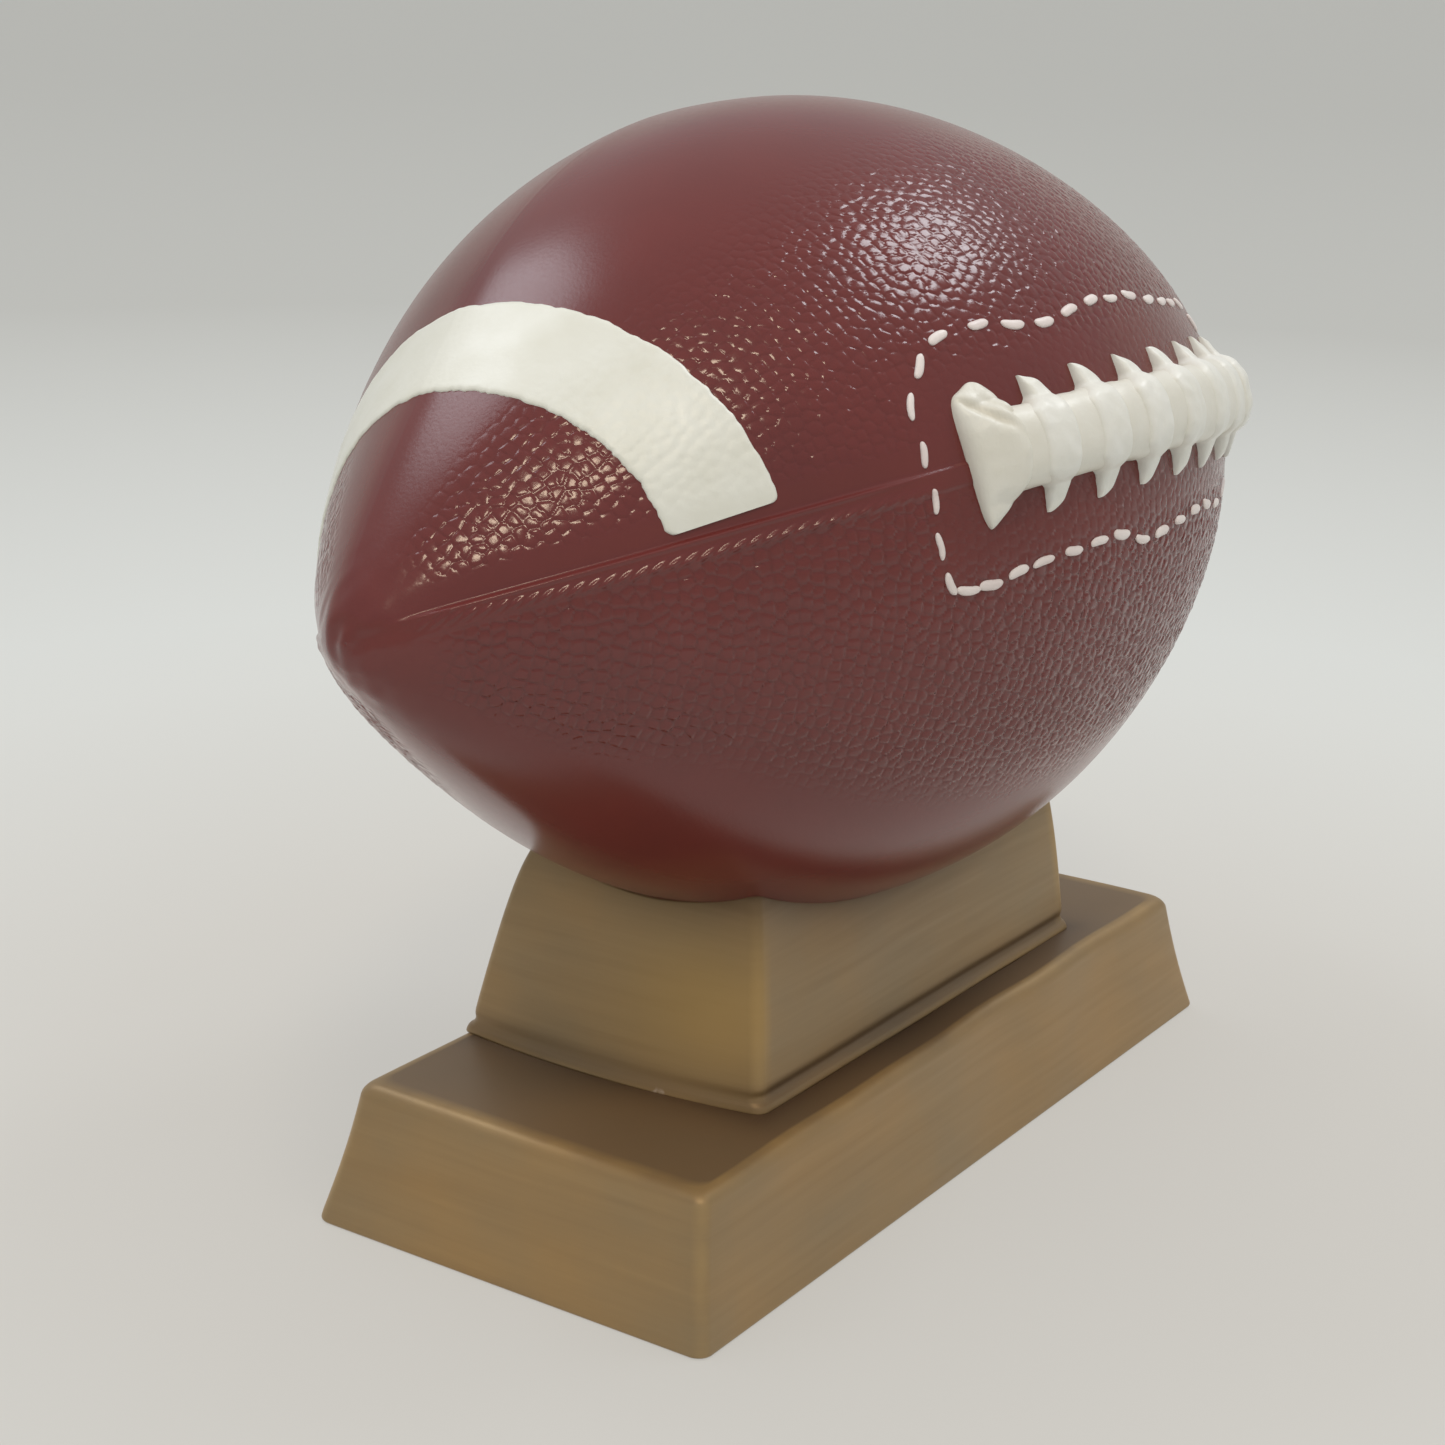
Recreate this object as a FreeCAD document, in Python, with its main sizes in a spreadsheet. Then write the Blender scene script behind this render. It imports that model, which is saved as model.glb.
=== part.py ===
import FreeCAD, Part
import math
import os
import re

import Sketcher
from FreeCAD import Placement, Rotation, Vector

# A hollow cast football on a stepped plinth, clamped together by two tie rods and
# closed underneath by a screwed stopper. Millimetres, +Z up, the table at Z 0.
# X runs along the ball, whose axis lies over Y 0, and its lacing faces -Y.

SIZES = {
    # ball: a belly arc, flank arcs and rounded noses, each tangent to the next. The
    # angles are the slopes at which belly hands over to flank and flank to nose.
    "ball_length": 280.0,
    "ball_radius": 76.0,
    "belly_angle": 35.3,
    "nose_angle": 40.5,
    "nose_radius": 7.0,
    "ball_roll": 19.4,
    "shell_wall": 5.0,
    "lip_angle": 2.5,
    "lip_gap_angle": 0.3,
    "lip_gap": 0.1,
    "glue_gap": 0.1,
    # painted bands and stitches, raised on the upper half and round the lacing
    "stripe_near": 81.1,
    "stripe_width": 16.3,
    "stripe_rise": 0.4,
    "stripe_end_angle": 6.4,
    "stitch_margin": 1.5,
    "stitch_half_z": 20.5,
    "stitch_corner": 9.0,
    "stitch_count": 36.0,
    "stitch_length": 4.6,
    "stitch_width": 1.8,
    "stitch_rise": 0.4,
    # lacing: a bar along the front seam and straps over it
    "strip_width": 14.5,
    "strip_rise": 5.5,
    "strip_edge_rise": 2.0,
    "strip_end": 4.9,
    "lace_sink": 2.5,
    "cross_count": 8.0,
    "cross_pitch": 14.0,
    "cross_length": 25.0,
    "cross_width": 8.0,
    "cross_rise": 7.0,
    # base, the lower tier, set back from the ball's axis
    "base_shift": -4.0,
    "base_foot_x": 99.2,
    "base_foot_y": 43.6,
    "base_top_x": 92.2,
    "base_top_y": 38.4,
    "base_height": 26.8,
    "base_wall": 6.0,
    "base_deck": 6.0,
    "edge_round": 2.5,
    "passage_x": 28.0,
    "passage_y": 20.0,
    # pedestal, the upper tier, as high as the lowest point of its saddle
    "pedestal_height": 23.0,
    "pedestal_foot_x": 61.0,
    "pedestal_foot_y": 33.4,
    "pedestal_draft_x": 0.17,
    "pedestal_draft_y": 0.16,
    "pedestal_wall": 6.0,
    "bead_out": 1.2,
    "bead_height": 2.6,
    # tie rods and what they thread into
    "rod_x": 42.0,
    "rod_radius": 3.0,
    "rod_hole_radius": 3.4,
    "rod_end": 3.0,
    "insert_radius": 4.5,
    "insert_length": 12.0,
    "insert_recess": 4.0,
    "block_wall": 3.5,
    "block_cap": 3.0,
    "thread_gap": 0.04,
    "washer_radius": 8.0,
    "washer_thickness": 1.6,
    "nut_flats": 10.0,
    "nut_height": 5.0,
    # bottom plate, its screws and felt
    "plate_recess": 2.0,
    "plate_thickness": 5.0,
    "plate_gap": 0.3,
    "plate_corner": 4.0,
    "screw_x": 78.0,
    "screw_y": 24.0,
    "screw_radius": 1.9,
    "screw_length": 13.0,
    "screw_tip": 2.0,
    "head_radius": 4.0,
    "head_height": 2.2,
    "head_gap": 0.2,
    "screw_boss_radius": 5.0,
    "pad_thickness": 1.5,
    "pad_margin": 2.0,
    # stopper, its collar and gasket
    "collar_radius": 25.0,
    "flange_lip": 4.0,
    "flange_thickness": 2.0,
    "collar_length": 11.0,
    "plug_radius": 20.0,
    "plug_gap": 0.06,
    "plug_reach": 9.0,
    "plug_bore": 15.0,
    "cap_radius": 22.7,
    "cap_thickness": 3.0,
    "cap_gap": 0.3,
    "cap_recess": 0.2,
    "gasket_thickness": 1.0,
    "coin_slot_width": 2.4,
    "coin_slot_length": 26.0,
    "coin_slot_depth": 1.6,
}

# Sizes worked out from the driving ones. The belly and flank radii are the pair that
# brings the outline from the ball's waist down to the start of its nose.
WORKED_OUT = {
    "ball_height": "base_height + pedestal_height + ball_radius",
    "nose_x": "ball_length / 2 - nose_radius",
    "outline_run": "nose_x + nose_radius * sin(nose_angle)",
    "outline_fall": "ball_radius - nose_radius * cos(nose_angle)",
    "flank_run": "sin(nose_angle) - sin(belly_angle)",
    "flank_fall": "cos(belly_angle) - cos(nose_angle)",
    "outline_spread": "sin(belly_angle) * flank_fall - (1 - cos(belly_angle)) * flank_run",
    "belly_radius": "(outline_run * flank_fall - outline_fall * flank_run) / outline_spread",
    "flank_radius": "(outline_fall * sin(belly_angle) - outline_run * (1 - cos(belly_angle)))"
                    " / outline_spread",
    "belly_low": "ball_radius - belly_radius",
    "flank_x": "(belly_radius - flank_radius) * sin(belly_angle)",
    "flank_z": "belly_low + (belly_radius - flank_radius) * cos(belly_angle)",
    "lip_split": "shell_wall / 2",
    "cross_step": "cross_pitch / belly_radius * 180 / pi",
    "strip_half": "cross_pitch * (cross_count - 1) / 2 + strip_end",
    "strip_angle": "2 * strip_half / belly_radius * 180 / pi",
    "stitch_half_x": "strip_half + stitch_margin",
    "base_lean_x": "(base_foot_x - base_top_x) / base_height",
    "base_lean_y": "(base_foot_y - base_top_y) / base_height",
    "cavity_top": "base_height - base_deck",
    "pedestal_reach": "pedestal_height + ball_radius / 2",
    "plate_top": "plate_recess + plate_thickness",
    "plate_half_x": "base_foot_x - base_wall - base_lean_x * plate_top - plate_gap",
    "plate_half_y": "base_foot_y - base_wall - base_lean_y * plate_top - plate_gap",
    "rod_saddle": "ball_height - belly_low - sqrt(belly_radius^2 - rod_x^2)",
    "insert_low": "rod_saddle + insert_recess",
    "block_top": "insert_low + insert_length + block_cap",
    "washer_low": "cavity_top - washer_thickness",
    "nut_low": "washer_low - nut_height",
    "rod_low": "nut_low - rod_end",
    "head_seat": "plate_recess + head_height + head_gap",
    "cap_low": "plate_recess + cap_recess",
    "gasket_low": "cap_low + cap_thickness",
    "collar_step": "gasket_low + gasket_thickness",
}

doc = FreeCAD.newDocument("football_keepsake")
SHEET_OF = {}


def fill_sheet(name, cells):
    """Write one aliased cell per size and remember which sheet holds it."""
    sheet = doc.addObject("Spreadsheet::Sheet", name)
    for row, (alias, content) in enumerate(cells.items(), start=1):
        formula = isinstance(content, str)
        SHEET_OF[alias] = name
        sheet.set(f"A{row}", "=" + bound(content) if formula else str(content))
        sheet.setAlias(f"A{row}", alias)
    doc.recompute()
    return sheet


def bound(formula):
    """The formula with every size's name pointing at its cell."""
    return re.sub(r"[a-z]+(?:_[a-z]+)+", lambda word: f"{SHEET_OF[word[0]]}.{word[0]}", formula)


sizes = fill_sheet("sizes", SIZES)
fill_sheet("worked_out", WORKED_OUT)


def value(formula):
    return float(sizes.evalExpression(bound(formula)))


def bind(thing, prop, formula):
    thing.setExpression(prop, bound(formula))


def place(thing, x="0", y="0", z="0"):
    for letter, formula in zip("xyz", (x, y, z)):
        bind(thing, f"Placement.Base.{letter}", formula)
    return thing


def seat_on_ball_axis(thing, turn="0"):
    """Put a piece drawn in the ball's own frame at the ball's height and roll."""
    thing.Placement = Placement(Vector(), Rotation(Vector(1, 0, 0), 1))
    bind(thing, "Placement.Base.z", "ball_height")
    bind(thing, "Placement.Rotation.Angle", f"{turn} - ball_roll")
    return thing


# Drawing: bodies, sketches and features


def new_body(label):
    return doc.addObject("PartDesign::Body", label)


def sketch_on(body, role, lift="0"):
    """A sketch on one of the body's own planes, lifted along that plane's normal."""
    plane = next(feature for feature in body.Origin.OriginFeatures if feature.Role == role)
    sketch = body.newObject("Sketcher::SketchObject", f"sketch_of_{body.Name}")
    sketch.AttachmentSupport = [(plane, "")]
    sketch.MapMode = "FlatFace"
    bind(sketch, "AttachmentOffset.Base.z", lift)
    return sketch


def dimension(sketch, kind, parts, formula):
    index = sketch.addConstraint(Sketcher.Constraint(kind, *parts, value(formula)))
    bind(sketch, f"Constraints[{index}]", formula)


def pin_point(sketch, geometry, point, x, y):
    """Dimension one point of the sketch from its origin, each distance taken as positive."""
    for kind, formula, axis in (("DistanceX", x, -2), ("DistanceY", y, -1)):
        distance = value(formula)
        if abs(distance) < 1e-9:
            sketch.addConstraint(Sketcher.Constraint("PointOnObject", geometry, point, axis))
        elif distance > 0:
            dimension(sketch, kind, (-1, 1, geometry, point), formula)
        else:
            dimension(sketch, kind, (geometry, point, -1, 1), f"-({formula})")


def arc_between(start, end, radius, turn):
    """The arc under half a circle from start to end, to the left for turn 1."""
    chord = end - start
    rise = math.sqrt(radius**2 - chord.Length**2 / 4)
    centre = (start + end) / 2 + Vector(-chord.y, chord.x, 0) * (turn * rise / chord.Length)
    first, last = (start, end) if turn > 0 else (end, start)
    angles = [math.atan2(point.y - centre.y, point.x - centre.x) for point in (first, last)]
    return Part.ArcOfCircle(Part.Circle(centre, Vector(0, 0, 1), radius), *angles)


def outline(sketch, corners, arcs=()):
    """Draw a closed outline through corners given as pairs of formulas.

    arcs maps a corner to the (radius, turn) of the arc that leaves it. Turn is 1 to the
    left and -1 to the right, and every other side is straight.
    """
    arcs = dict(arcs)
    points = [Vector(value(x), value(y), 0) for x, y in corners]
    sides = []
    for number, start in enumerate(points):
        end = points[(number + 1) % len(points)]
        radius, turn = arcs.get(number, (None, 1))
        if radius is None:
            curve = Part.LineSegment(start, end)
        else:
            curve = arc_between(start, end, value(radius), turn)
        sides.append((sketch.addGeometry(curve), *((1, 2) if turn > 0 else (2, 1))))
    for number, (side, _, end) in enumerate(sides):
        follower, start, _ = sides[(number + 1) % len(sides)]
        sketch.addConstraint(Sketcher.Constraint("Coincident", side, end, follower, start))
    for (side, start, _), (x, y) in zip(sides, corners):
        pin_point(sketch, side, start, x, y)
    for number, (radius, _) in arcs.items():
        dimension(sketch, "Radius", (sides[number][0],), radius)
    return sketch


def rectangle(sketch, half_x, half_y, x="0", y="0"):
    low_x, high_x = f"{x} - ({half_x})", f"{x} + {half_x}"
    low_y, high_y = f"{y} - ({half_y})", f"{y} + {half_y}"
    return outline(sketch, [(low_x, low_y), (high_x, low_y), (high_x, high_y), (low_x, high_y)])


def circle(sketch, radius, x="0", y="0"):
    centre = Vector(value(x), value(y), 0)
    ring = sketch.addGeometry(Part.Circle(centre, Vector(0, 0, 1), value(radius)))
    pin_point(sketch, ring, 3, x, y)
    dimension(sketch, "Radius", (ring,), radius)
    return sketch


def feature(body, kind, sketch):
    made = body.newObject(f"PartDesign::{kind}", f"{kind.lower()}_of_{body.Name}")
    made.Profile = sketch
    return made


def turned(body, sketch, angle="360", axis="H_Axis"):
    """Turn a sketch about one of its own axes, as far each way."""
    made = feature(body, "Revolution", sketch)
    made.ReferenceAxis = (sketch, [axis])
    made.Midplane = True
    bind(made, "Angle", angle)
    doc.recompute()
    return made


def raised(body, sketch, length):
    made = feature(body, "Pad", sketch)
    bind(made, "Length", length)
    doc.recompute()
    return made


def sunk(body, sketch, depth):
    """Cut a sketch upwards into the body, and refuse a cut that takes nothing away."""
    before = body.Shape.Volume
    made = feature(body, "Pocket", sketch)
    made.Reversed = True
    bind(made, "Length", depth)
    doc.recompute()
    if not body.Shape.Volume < before:
        raise ValueError(f"{body.Label}: a pocket cut nothing")
    return made


def tapered(body, kind, high, foot, top):
    """Add or cut a block from the body's floor up, its half sizes going from foot to top."""
    plane = next(feature for feature in body.Origin.OriginFeatures if feature.Role == "XZ_Plane")
    made = body.newObject(f"PartDesign::{kind}", f"{kind.lower()}_of_{body.Name}")
    made.AttachmentSupport = [(plane, "")]
    made.MapMode = "FlatFace"
    for letter, half_foot, half_top in zip("XZ", foot, top):
        bind(made, f"{letter}min", f"-({half_foot})")
        bind(made, f"{letter}max", half_foot)
        bind(made, f"{letter}2min", f"-({half_top})")
        bind(made, f"{letter}2max", half_top)
    bind(made, "Ymin", "0")
    bind(made, "Ymax", high)
    doc.recompute()
    return made


def rounded(body, radius, wanted):
    """Fillet the edges of the body's last feature that pass the test."""
    tip = body.Tip
    chosen = [f"Edge{n}" for n, edge in enumerate(tip.Shape.Edges, start=1) if wanted(edge)]
    made = body.newObject("PartDesign::Fillet", f"fillet_of_{body.Name}")
    made.Base = (tip, chosen)
    bind(made, "Radius", radius)
    doc.recompute()
    return made


def joined(kind, name, base, tool):
    """A Part::Cut, Part::Common or Part::Fuse of two objects."""
    made = doc.addObject(f"Part::{kind}", name)
    made.Base = base
    made.Tool = tool
    doc.recompute()
    return made


def gathered(name, pieces):
    made = doc.addObject("Part::Compound", name)
    made.Links = pieces
    return made


def cylinder(name, radius, low, high, x="0"):
    made = doc.addObject("Part::Cylinder", name)
    bind(made, "Radius", radius)
    bind(made, "Height", f"{high} - ({low})")
    return place(made, x=x, z=low)


# Ball: two half shells with a glued lip, in the ball's own frame until they are seated


def half_outline(offset):
    """The ball's outline above its axis, moved outwards by offset, from nose to nose."""
    reach = f"(flank_radius + {offset})"
    touch = (f"flank_x + {reach} * sin(nose_angle)", f"flank_z + {reach} * cos(nose_angle)")
    belly = f"(belly_radius + {offset})"
    shoulder = (f"{belly} * sin(belly_angle)", f"belly_low + {belly} * cos(belly_angle)")
    tip = (f"nose_x + nose_radius + {offset}", "0")
    right = [tip, touch, shoulder]
    corners = right + [(f"-({x})", z) for x, z in reversed(right)]
    nose = f"nose_radius + {offset}"
    flank = f"flank_radius + {offset}"
    return corners, [nose, flank, f"belly_radius + {offset}", flank, nose]


def solid_ball(name, offset):
    body = new_body(name)
    corners, radii = half_outline(offset)
    arcs = {number: (radius, 1) for number, radius in enumerate(radii)}
    turned(body, outline(sketch_on(body, "XZ_Plane"), corners, arcs))
    return body


def add_skin(body, inner, outer, angle):
    """Turn the layer between two offsets of the outline about the ball's axis."""
    outer_corners, outer_radii = half_outline(outer)
    inner_corners, inner_radii = half_outline(inner)
    arcs = {number: (radius, 1) for number, radius in enumerate(outer_radii)}
    first = len(outer_corners)
    arcs.update({first + number: (radius, -1) for number, radius in enumerate(inner_radii)})
    sketch = sketch_on(body, "XZ_Plane")
    outline(sketch, outer_corners + inner_corners[::-1], arcs)
    return turned(body, sketch, angle)


def upper_shell():
    body = new_body("ball_upper_shell")
    add_skin(body, "-shell_wall", "0", "180")
    add_skin(body, "-shell_wall", "-(lip_split + lip_gap)", "180 + 2 * lip_angle")
    return seat_on_ball_axis(body)


def rod_cylinders(name, radius, top):
    """A pair of upright cylinders on the rods' axes, from well below the ball to top."""
    sides = ("-rod_x", "rod_x")
    return gathered(f"{name}_pair", [cylinder(name, radius, "rod_saddle - rod_x", top, x) for x in sides])


def insert_bores():
    return rod_cylinders("insert_bore", "insert_radius + thread_gap", "insert_low + insert_length")


def lower_shell():
    """The lower half, with a round way into the ball and the holes of the two rods."""
    half = new_body("lower_half")
    add_skin(half, "-shell_wall", "0", "180 - 2 * (lip_angle + lip_gap_angle)")
    add_skin(half, "-lip_split", "0", "180")
    seat_on_ball_axis(half, "180")
    way_in = cylinder("way_in", "passage_y", "base_height", "ball_height - ball_radius / 2")
    return joined("Cut", "ball_lower_shell", half, gathered("lower_cuts", [insert_bores(), way_in]))


def rod_blocks():
    """Two round blocks bonded to the inside of the lower half, bored for the rods' inserts."""
    inside = place(solid_ball("block_limit", "-(shell_wall + glue_gap)"), z="ball_height")
    posts = rod_cylinders("block_post", "insert_radius + block_wall", "block_top")
    return joined("Cut", "rod_blocks", joined("Common", "blocks", posts, inside), insert_bores())


def stripe(label, low_x):
    """A painted band over the upper half, which stops short of the seam at both ends."""
    skin = new_body(f"{label}_skin")
    add_skin(skin, "glue_gap", "glue_gap + stripe_rise", "180 - 2 * stripe_end_angle")
    slab = doc.addObject("Part::Box", f"{label}_slab")
    bind(slab, "Length", "stripe_width")
    bind(slab, "Width", "4 * ball_radius")
    bind(slab, "Height", "2 * ball_radius")
    place(slab, x=low_x, y="-2 * ball_radius")
    return seat_on_ball_axis(joined("Common", label, skin, slab))


def stitch_place(fraction):
    """Centre and heading of a stitch at a fraction of the way round the rounded rectangle."""
    half_x, half_z, corner = (value(f"stitch_{word}") for word in ("half_x", "half_z", "corner"))
    runs = [(half_x - corner) * 2, (half_z - corner) * 2] * 2
    turn = math.pi / 2 * corner
    along = fraction * (sum(runs) + 4 * turn)
    inner = [(-1, -1), (1, -1), (1, 1), (-1, 1)]
    for side, run in enumerate(runs):
        heading = side * math.pi / 2
        start = Vector(inner[side][0] * (half_x - corner), inner[side][1] * (half_z - corner), 0)
        ahead = Vector(math.cos(heading), math.sin(heading), 0)
        out = Vector(math.sin(heading), -math.cos(heading), 0)
        if along < run:
            return start + ahead * along + out * corner, heading
        along -= run
        if along < turn:
            bend = along / corner
            swung = out * math.cos(bend) + ahead * math.sin(bend)
            return start + ahead * run + swung * corner, heading + bend
        along -= turn
    raise ValueError("a stitch lies past the end of its path")


def panel_stitches():
    """Short raised dashes on the ball's front, laid out flat and cut from a thin skin."""
    skin = new_body("stitch_skin")
    add_skin(skin, "glue_gap", "glue_gap + stitch_rise", "360")
    dashes = []
    count = int(value("stitch_count"))
    for number in range(count):
        centre, heading = stitch_place((number + 0.5) / count)
        dash = doc.addObject("Part::Box", "stitch")
        bind(dash, "Length", "stitch_length")
        bind(dash, "Width", "ball_radius")
        bind(dash, "Height", "stitch_width")
        middle = Vector(value("stitch_length") / 2, value("ball_radius") * 1.25, value("stitch_width") / 2)
        swing = Rotation(Vector(0, 1, 0), -math.degrees(heading))
        dash.Placement = Placement(Vector(centre.x, 0, centre.y) - swing.multVec(middle), swing)
        dashes.append(dash)
    doc.recompute()
    return seat_on_ball_axis(joined("Common", "panel_stitches", gathered("dashes", dashes), skin))


# Lacing: drawn about the belly arc's centre, so the bar is turned and straps swing round it


def lace_bar(name, grow):
    """The bar along the seam, crowned across its width."""
    body = place(new_body(name), y="-belly_low")
    half, edge = f"(strip_width / 2 + {grow})", f"-(belly_radius + strip_edge_rise + {grow})"
    foot = "-(belly_radius - lace_sink)"
    crown = f"(({half})^2 + (strip_rise - strip_edge_rise)^2) / (2 * (strip_rise - strip_edge_rise))"
    corners = [(edge, half), (edge, f"-{half}"), (foot, f"-{half}"), (foot, half)]
    sketch = outline(sketch_on(body, "YZ_Plane"), corners, {0: (crown, 1)})
    turned(body, sketch, f"strip_angle + {grow}", "V_Axis")
    return body


def cross_lace(number, tools):
    """One strap arched over the bar, its ends down on the ball."""
    body = new_body(f"cross_lace_{number}_arch")
    foot, half = "-(belly_radius - lace_sink)", "cross_length / 2"
    rise = "(cross_rise + lace_sink)"
    radius = f"(({half})^2 + {rise}^2) / (2 * {rise})"
    corners = [(foot, half), (foot, f"-{half}")]
    sketch = outline(sketch_on(body, "YZ_Plane", "-cross_width / 2"), corners, {0: (radius, 1)})
    raised(body, sketch, "cross_width")
    body.Placement = Placement(Vector(), Rotation(Vector(0, 0, 1), 1))
    bind(body, "Placement.Base.y", "-belly_low")
    bind(body, "Placement.Rotation.Angle", f"({number} - (cross_count + 1) / 2) * cross_step")
    return seat_on_ball_axis(joined("Cut", f"cross_lace_{number}", body, tools))


def lacing():
    ball = solid_ball("lace_seat", "glue_gap")
    strip = seat_on_ball_axis(joined("Cut", "lace_strip", lace_bar("bar", "0"), ball))
    room = lace_bar("bar_room", "glue_gap")
    tools = joined("Fuse", "strap_seat", solid_ball("strap_ball", "glue_gap"), room)
    return [strip] + [cross_lace(1 + number, tools) for number in range(int(value("cross_count")))]


# Stand: two hollow tiers, the upper one cut to the ball


def slanted(edge):
    """An edge that climbs, such as a corner of a tapered block."""
    return abs(edge.Vertexes[0].Z - edge.Vertexes[-1].Z) > 1


def pedestal():
    body = place(new_body("pedestal_block"), z="base_height")
    foot = ["pedestal_foot_x", "pedestal_foot_y"]
    top = [f"{half} - pedestal_draft_{letter} * pedestal_reach" for half, letter in zip(foot, "xy")]
    tapered(body, "AdditiveWedge", "pedestal_reach", foot, top)
    rounded(body, "edge_round", slanted)
    bead = rectangle(sketch_on(body, "XY_Plane"), *[f"({half} + bead_out)" for half in foot])
    raised(body, bead, "bead_height")
    inner_foot, inner_top = ([f"{half} - pedestal_wall" for half in end] for end in (foot, top))
    tapered(body, "SubtractiveWedge", "pedestal_reach", inner_foot, inner_top)
    ball = place(solid_ball("saddle_ball", "glue_gap"), z="ball_height")
    return joined("Cut", "pedestal", body, ball)


def base():
    """The lower tier, hollow from below, with screw bosses under its deck."""
    body = place(new_body("base"), y="base_shift")
    foot, top = ["base_foot_x", "base_foot_y"], ["base_top_x", "base_top_y"]
    tapered(body, "AdditiveWedge", "base_height", foot, top)
    rounded(body, "edge_round", lambda edge: edge.BoundBox.ZMax > value("cavity_top"))
    inner = [f"{half} - base_wall" for half in foot]
    roof = [f"{half} - base_lean_{letter} * cavity_top" for half, letter in zip(inner, "xy")]
    tapered(body, "SubtractiveWedge", "cavity_top", inner, roof)
    corners = [(f"{x}screw_x", f"{y}screw_y") for x in ("", "-") for y in ("", "-")]
    posts = sketch_on(body, "XY_Plane", "plate_top")
    pilots = sketch_on(body, "XY_Plane", "plate_top")
    for x, y in corners:
        circle(posts, "screw_boss_radius", x, y)
        circle(pilots, "screw_radius + thread_gap", x, y)
    raised(body, posts, "cavity_top - plate_top + base_deck / 2")
    sunk(body, pilots, "head_seat + screw_length + head_gap - plate_top")
    through = sketch_on(body, "XY_Plane", "cavity_top - 1")
    rectangle(through, "passage_x", "passage_y", y="-base_shift")
    for x in ("rod_x", "-rod_x"):
        circle(through, "rod_hole_radius", x, "-base_shift")
    sunk(body, through, "base_deck + 2")
    return body


# Fixings: rods with their inserts, washers and nuts, and the bottom plate with its screws


def turned_piece(name, profile, x="0", y="0"):
    """A round piece turned about its own upright axis from corners (radius, height)."""
    body = place(new_body(name), x, y)
    turned(body, outline(sketch_on(body, "XZ_Plane"), profile), axis="V_Axis")
    return body


def ring_profile(inner, outer, low, high):
    return [(inner, low), (outer, low), (outer, high), (inner, high)]


def rod_set(label, profile):
    sides = {"left": "-rod_x", "right": "rod_x"}
    return gathered(label, [turned_piece(f"{label}_{side}", profile, x) for side, x in sides.items()])


def rod_nuts():
    nuts = []
    for side, x in {"left": "-rod_x", "right": "rod_x"}.items():
        body = place(new_body(f"nut_{side}"), x, z="nut_low")
        sketch = sketch_on(body, "XY_Plane")
        reach = "nut_flats / sqrt(3)"
        outline(sketch, [(f"{reach} * cos({60 * k})", f"{reach} * sin({60 * k})") for k in range(6)])
        circle(sketch, "rod_radius + thread_gap")
        raised(body, sketch, "nut_height")
        nuts.append(body)
    return gathered("rod_nuts", nuts)


def plate_screws():
    """Pan head screws, each with its head sunk in the plate and its tip in a boss."""
    seat, tip = "head_seat", "head_seat + screw_length"
    profile = [
        ("0", f"{seat} - head_height"),
        ("head_radius", f"{seat} - head_height"),
        ("head_radius", seat),
        ("screw_radius", seat),
        ("screw_radius", f"{tip} - screw_tip"),
        ("0", tip),
    ]
    spots = [(x, y) for x in ("screw_x", "-screw_x") for y in ("screw_y", "-screw_y")]
    screws = [
        turned_piece(f"screw_{number}", profile, x, f"base_shift + {y}")
        for number, (x, y) in enumerate(spots)
    ]
    return gathered("plate_screws", screws)


def bottom_plate():
    body = place(new_body("bottom_plate"), y="base_shift", z="plate_recess")
    raised(body, rectangle(sketch_on(body, "XY_Plane"), "plate_half_x", "plate_half_y"), "plate_thickness")
    rounded(body, "plate_corner", slanted)
    holes = sketch_on(body, "XY_Plane", "-1")
    heads = sketch_on(body, "XY_Plane")
    circle(holes, "collar_radius + thread_gap")
    for x in ("screw_x", "-screw_x"):
        for y in ("screw_y", "-screw_y"):
            circle(holes, "screw_radius + head_gap", x, y)
            circle(heads, "head_radius + head_gap", x, y)
    sunk(body, holes, "plate_thickness + 2")
    sunk(body, heads, "head_seat - plate_recess")
    return body


def base_pad():
    body = place(new_body("base_pad"), y="base_shift", z="plate_recess - pad_thickness")
    sketch = sketch_on(body, "XY_Plane")
    rectangle(sketch, "(plate_half_x - pad_margin)", "(plate_half_y - pad_margin)")
    circle(sketch, "collar_radius + pad_margin")
    raised(body, sketch, "pad_thickness")
    return body


# Stopper: a screwed cap in a flanged collar, with the thread drawn as a plain cylinder


def stopper_collar():
    rim, top = "plate_recess", "plate_recess + collar_length"
    mouth = "cap_radius + cap_gap"
    return turned_piece("stopper_collar", [
        (mouth, rim),
        ("collar_radius", rim),
        ("collar_radius", "plate_top"),
        ("collar_radius + flange_lip", "plate_top"),
        ("collar_radius + flange_lip", "plate_top + flange_thickness"),
        ("collar_radius", "plate_top + flange_thickness"),
        ("collar_radius", top),
        ("plug_radius", top),
        ("plug_radius", "collar_step"),
        (mouth, "collar_step"),
    ], y="base_shift")


def stopper():
    """A hollow plug under a disc that has a coin slot across its underside."""
    plug = "plug_radius - plug_gap"
    body = turned_piece("stopper", [
        ("0", "cap_low"),
        ("cap_radius", "cap_low"),
        ("cap_radius", "gasket_low"),
        (plug, "gasket_low"),
        (plug, "gasket_low + plug_reach"),
        ("plug_bore", "gasket_low + plug_reach"),
        ("plug_bore", "gasket_low"),
        ("0", "gasket_low"),
    ], y="base_shift")
    slot = sketch_on(body, "XY_Plane", "cap_low - 1")
    rectangle(slot, "coin_slot_length / 2", "coin_slot_width / 2")
    sunk(body, slot, "coin_slot_depth + 1")
    return body


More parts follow.
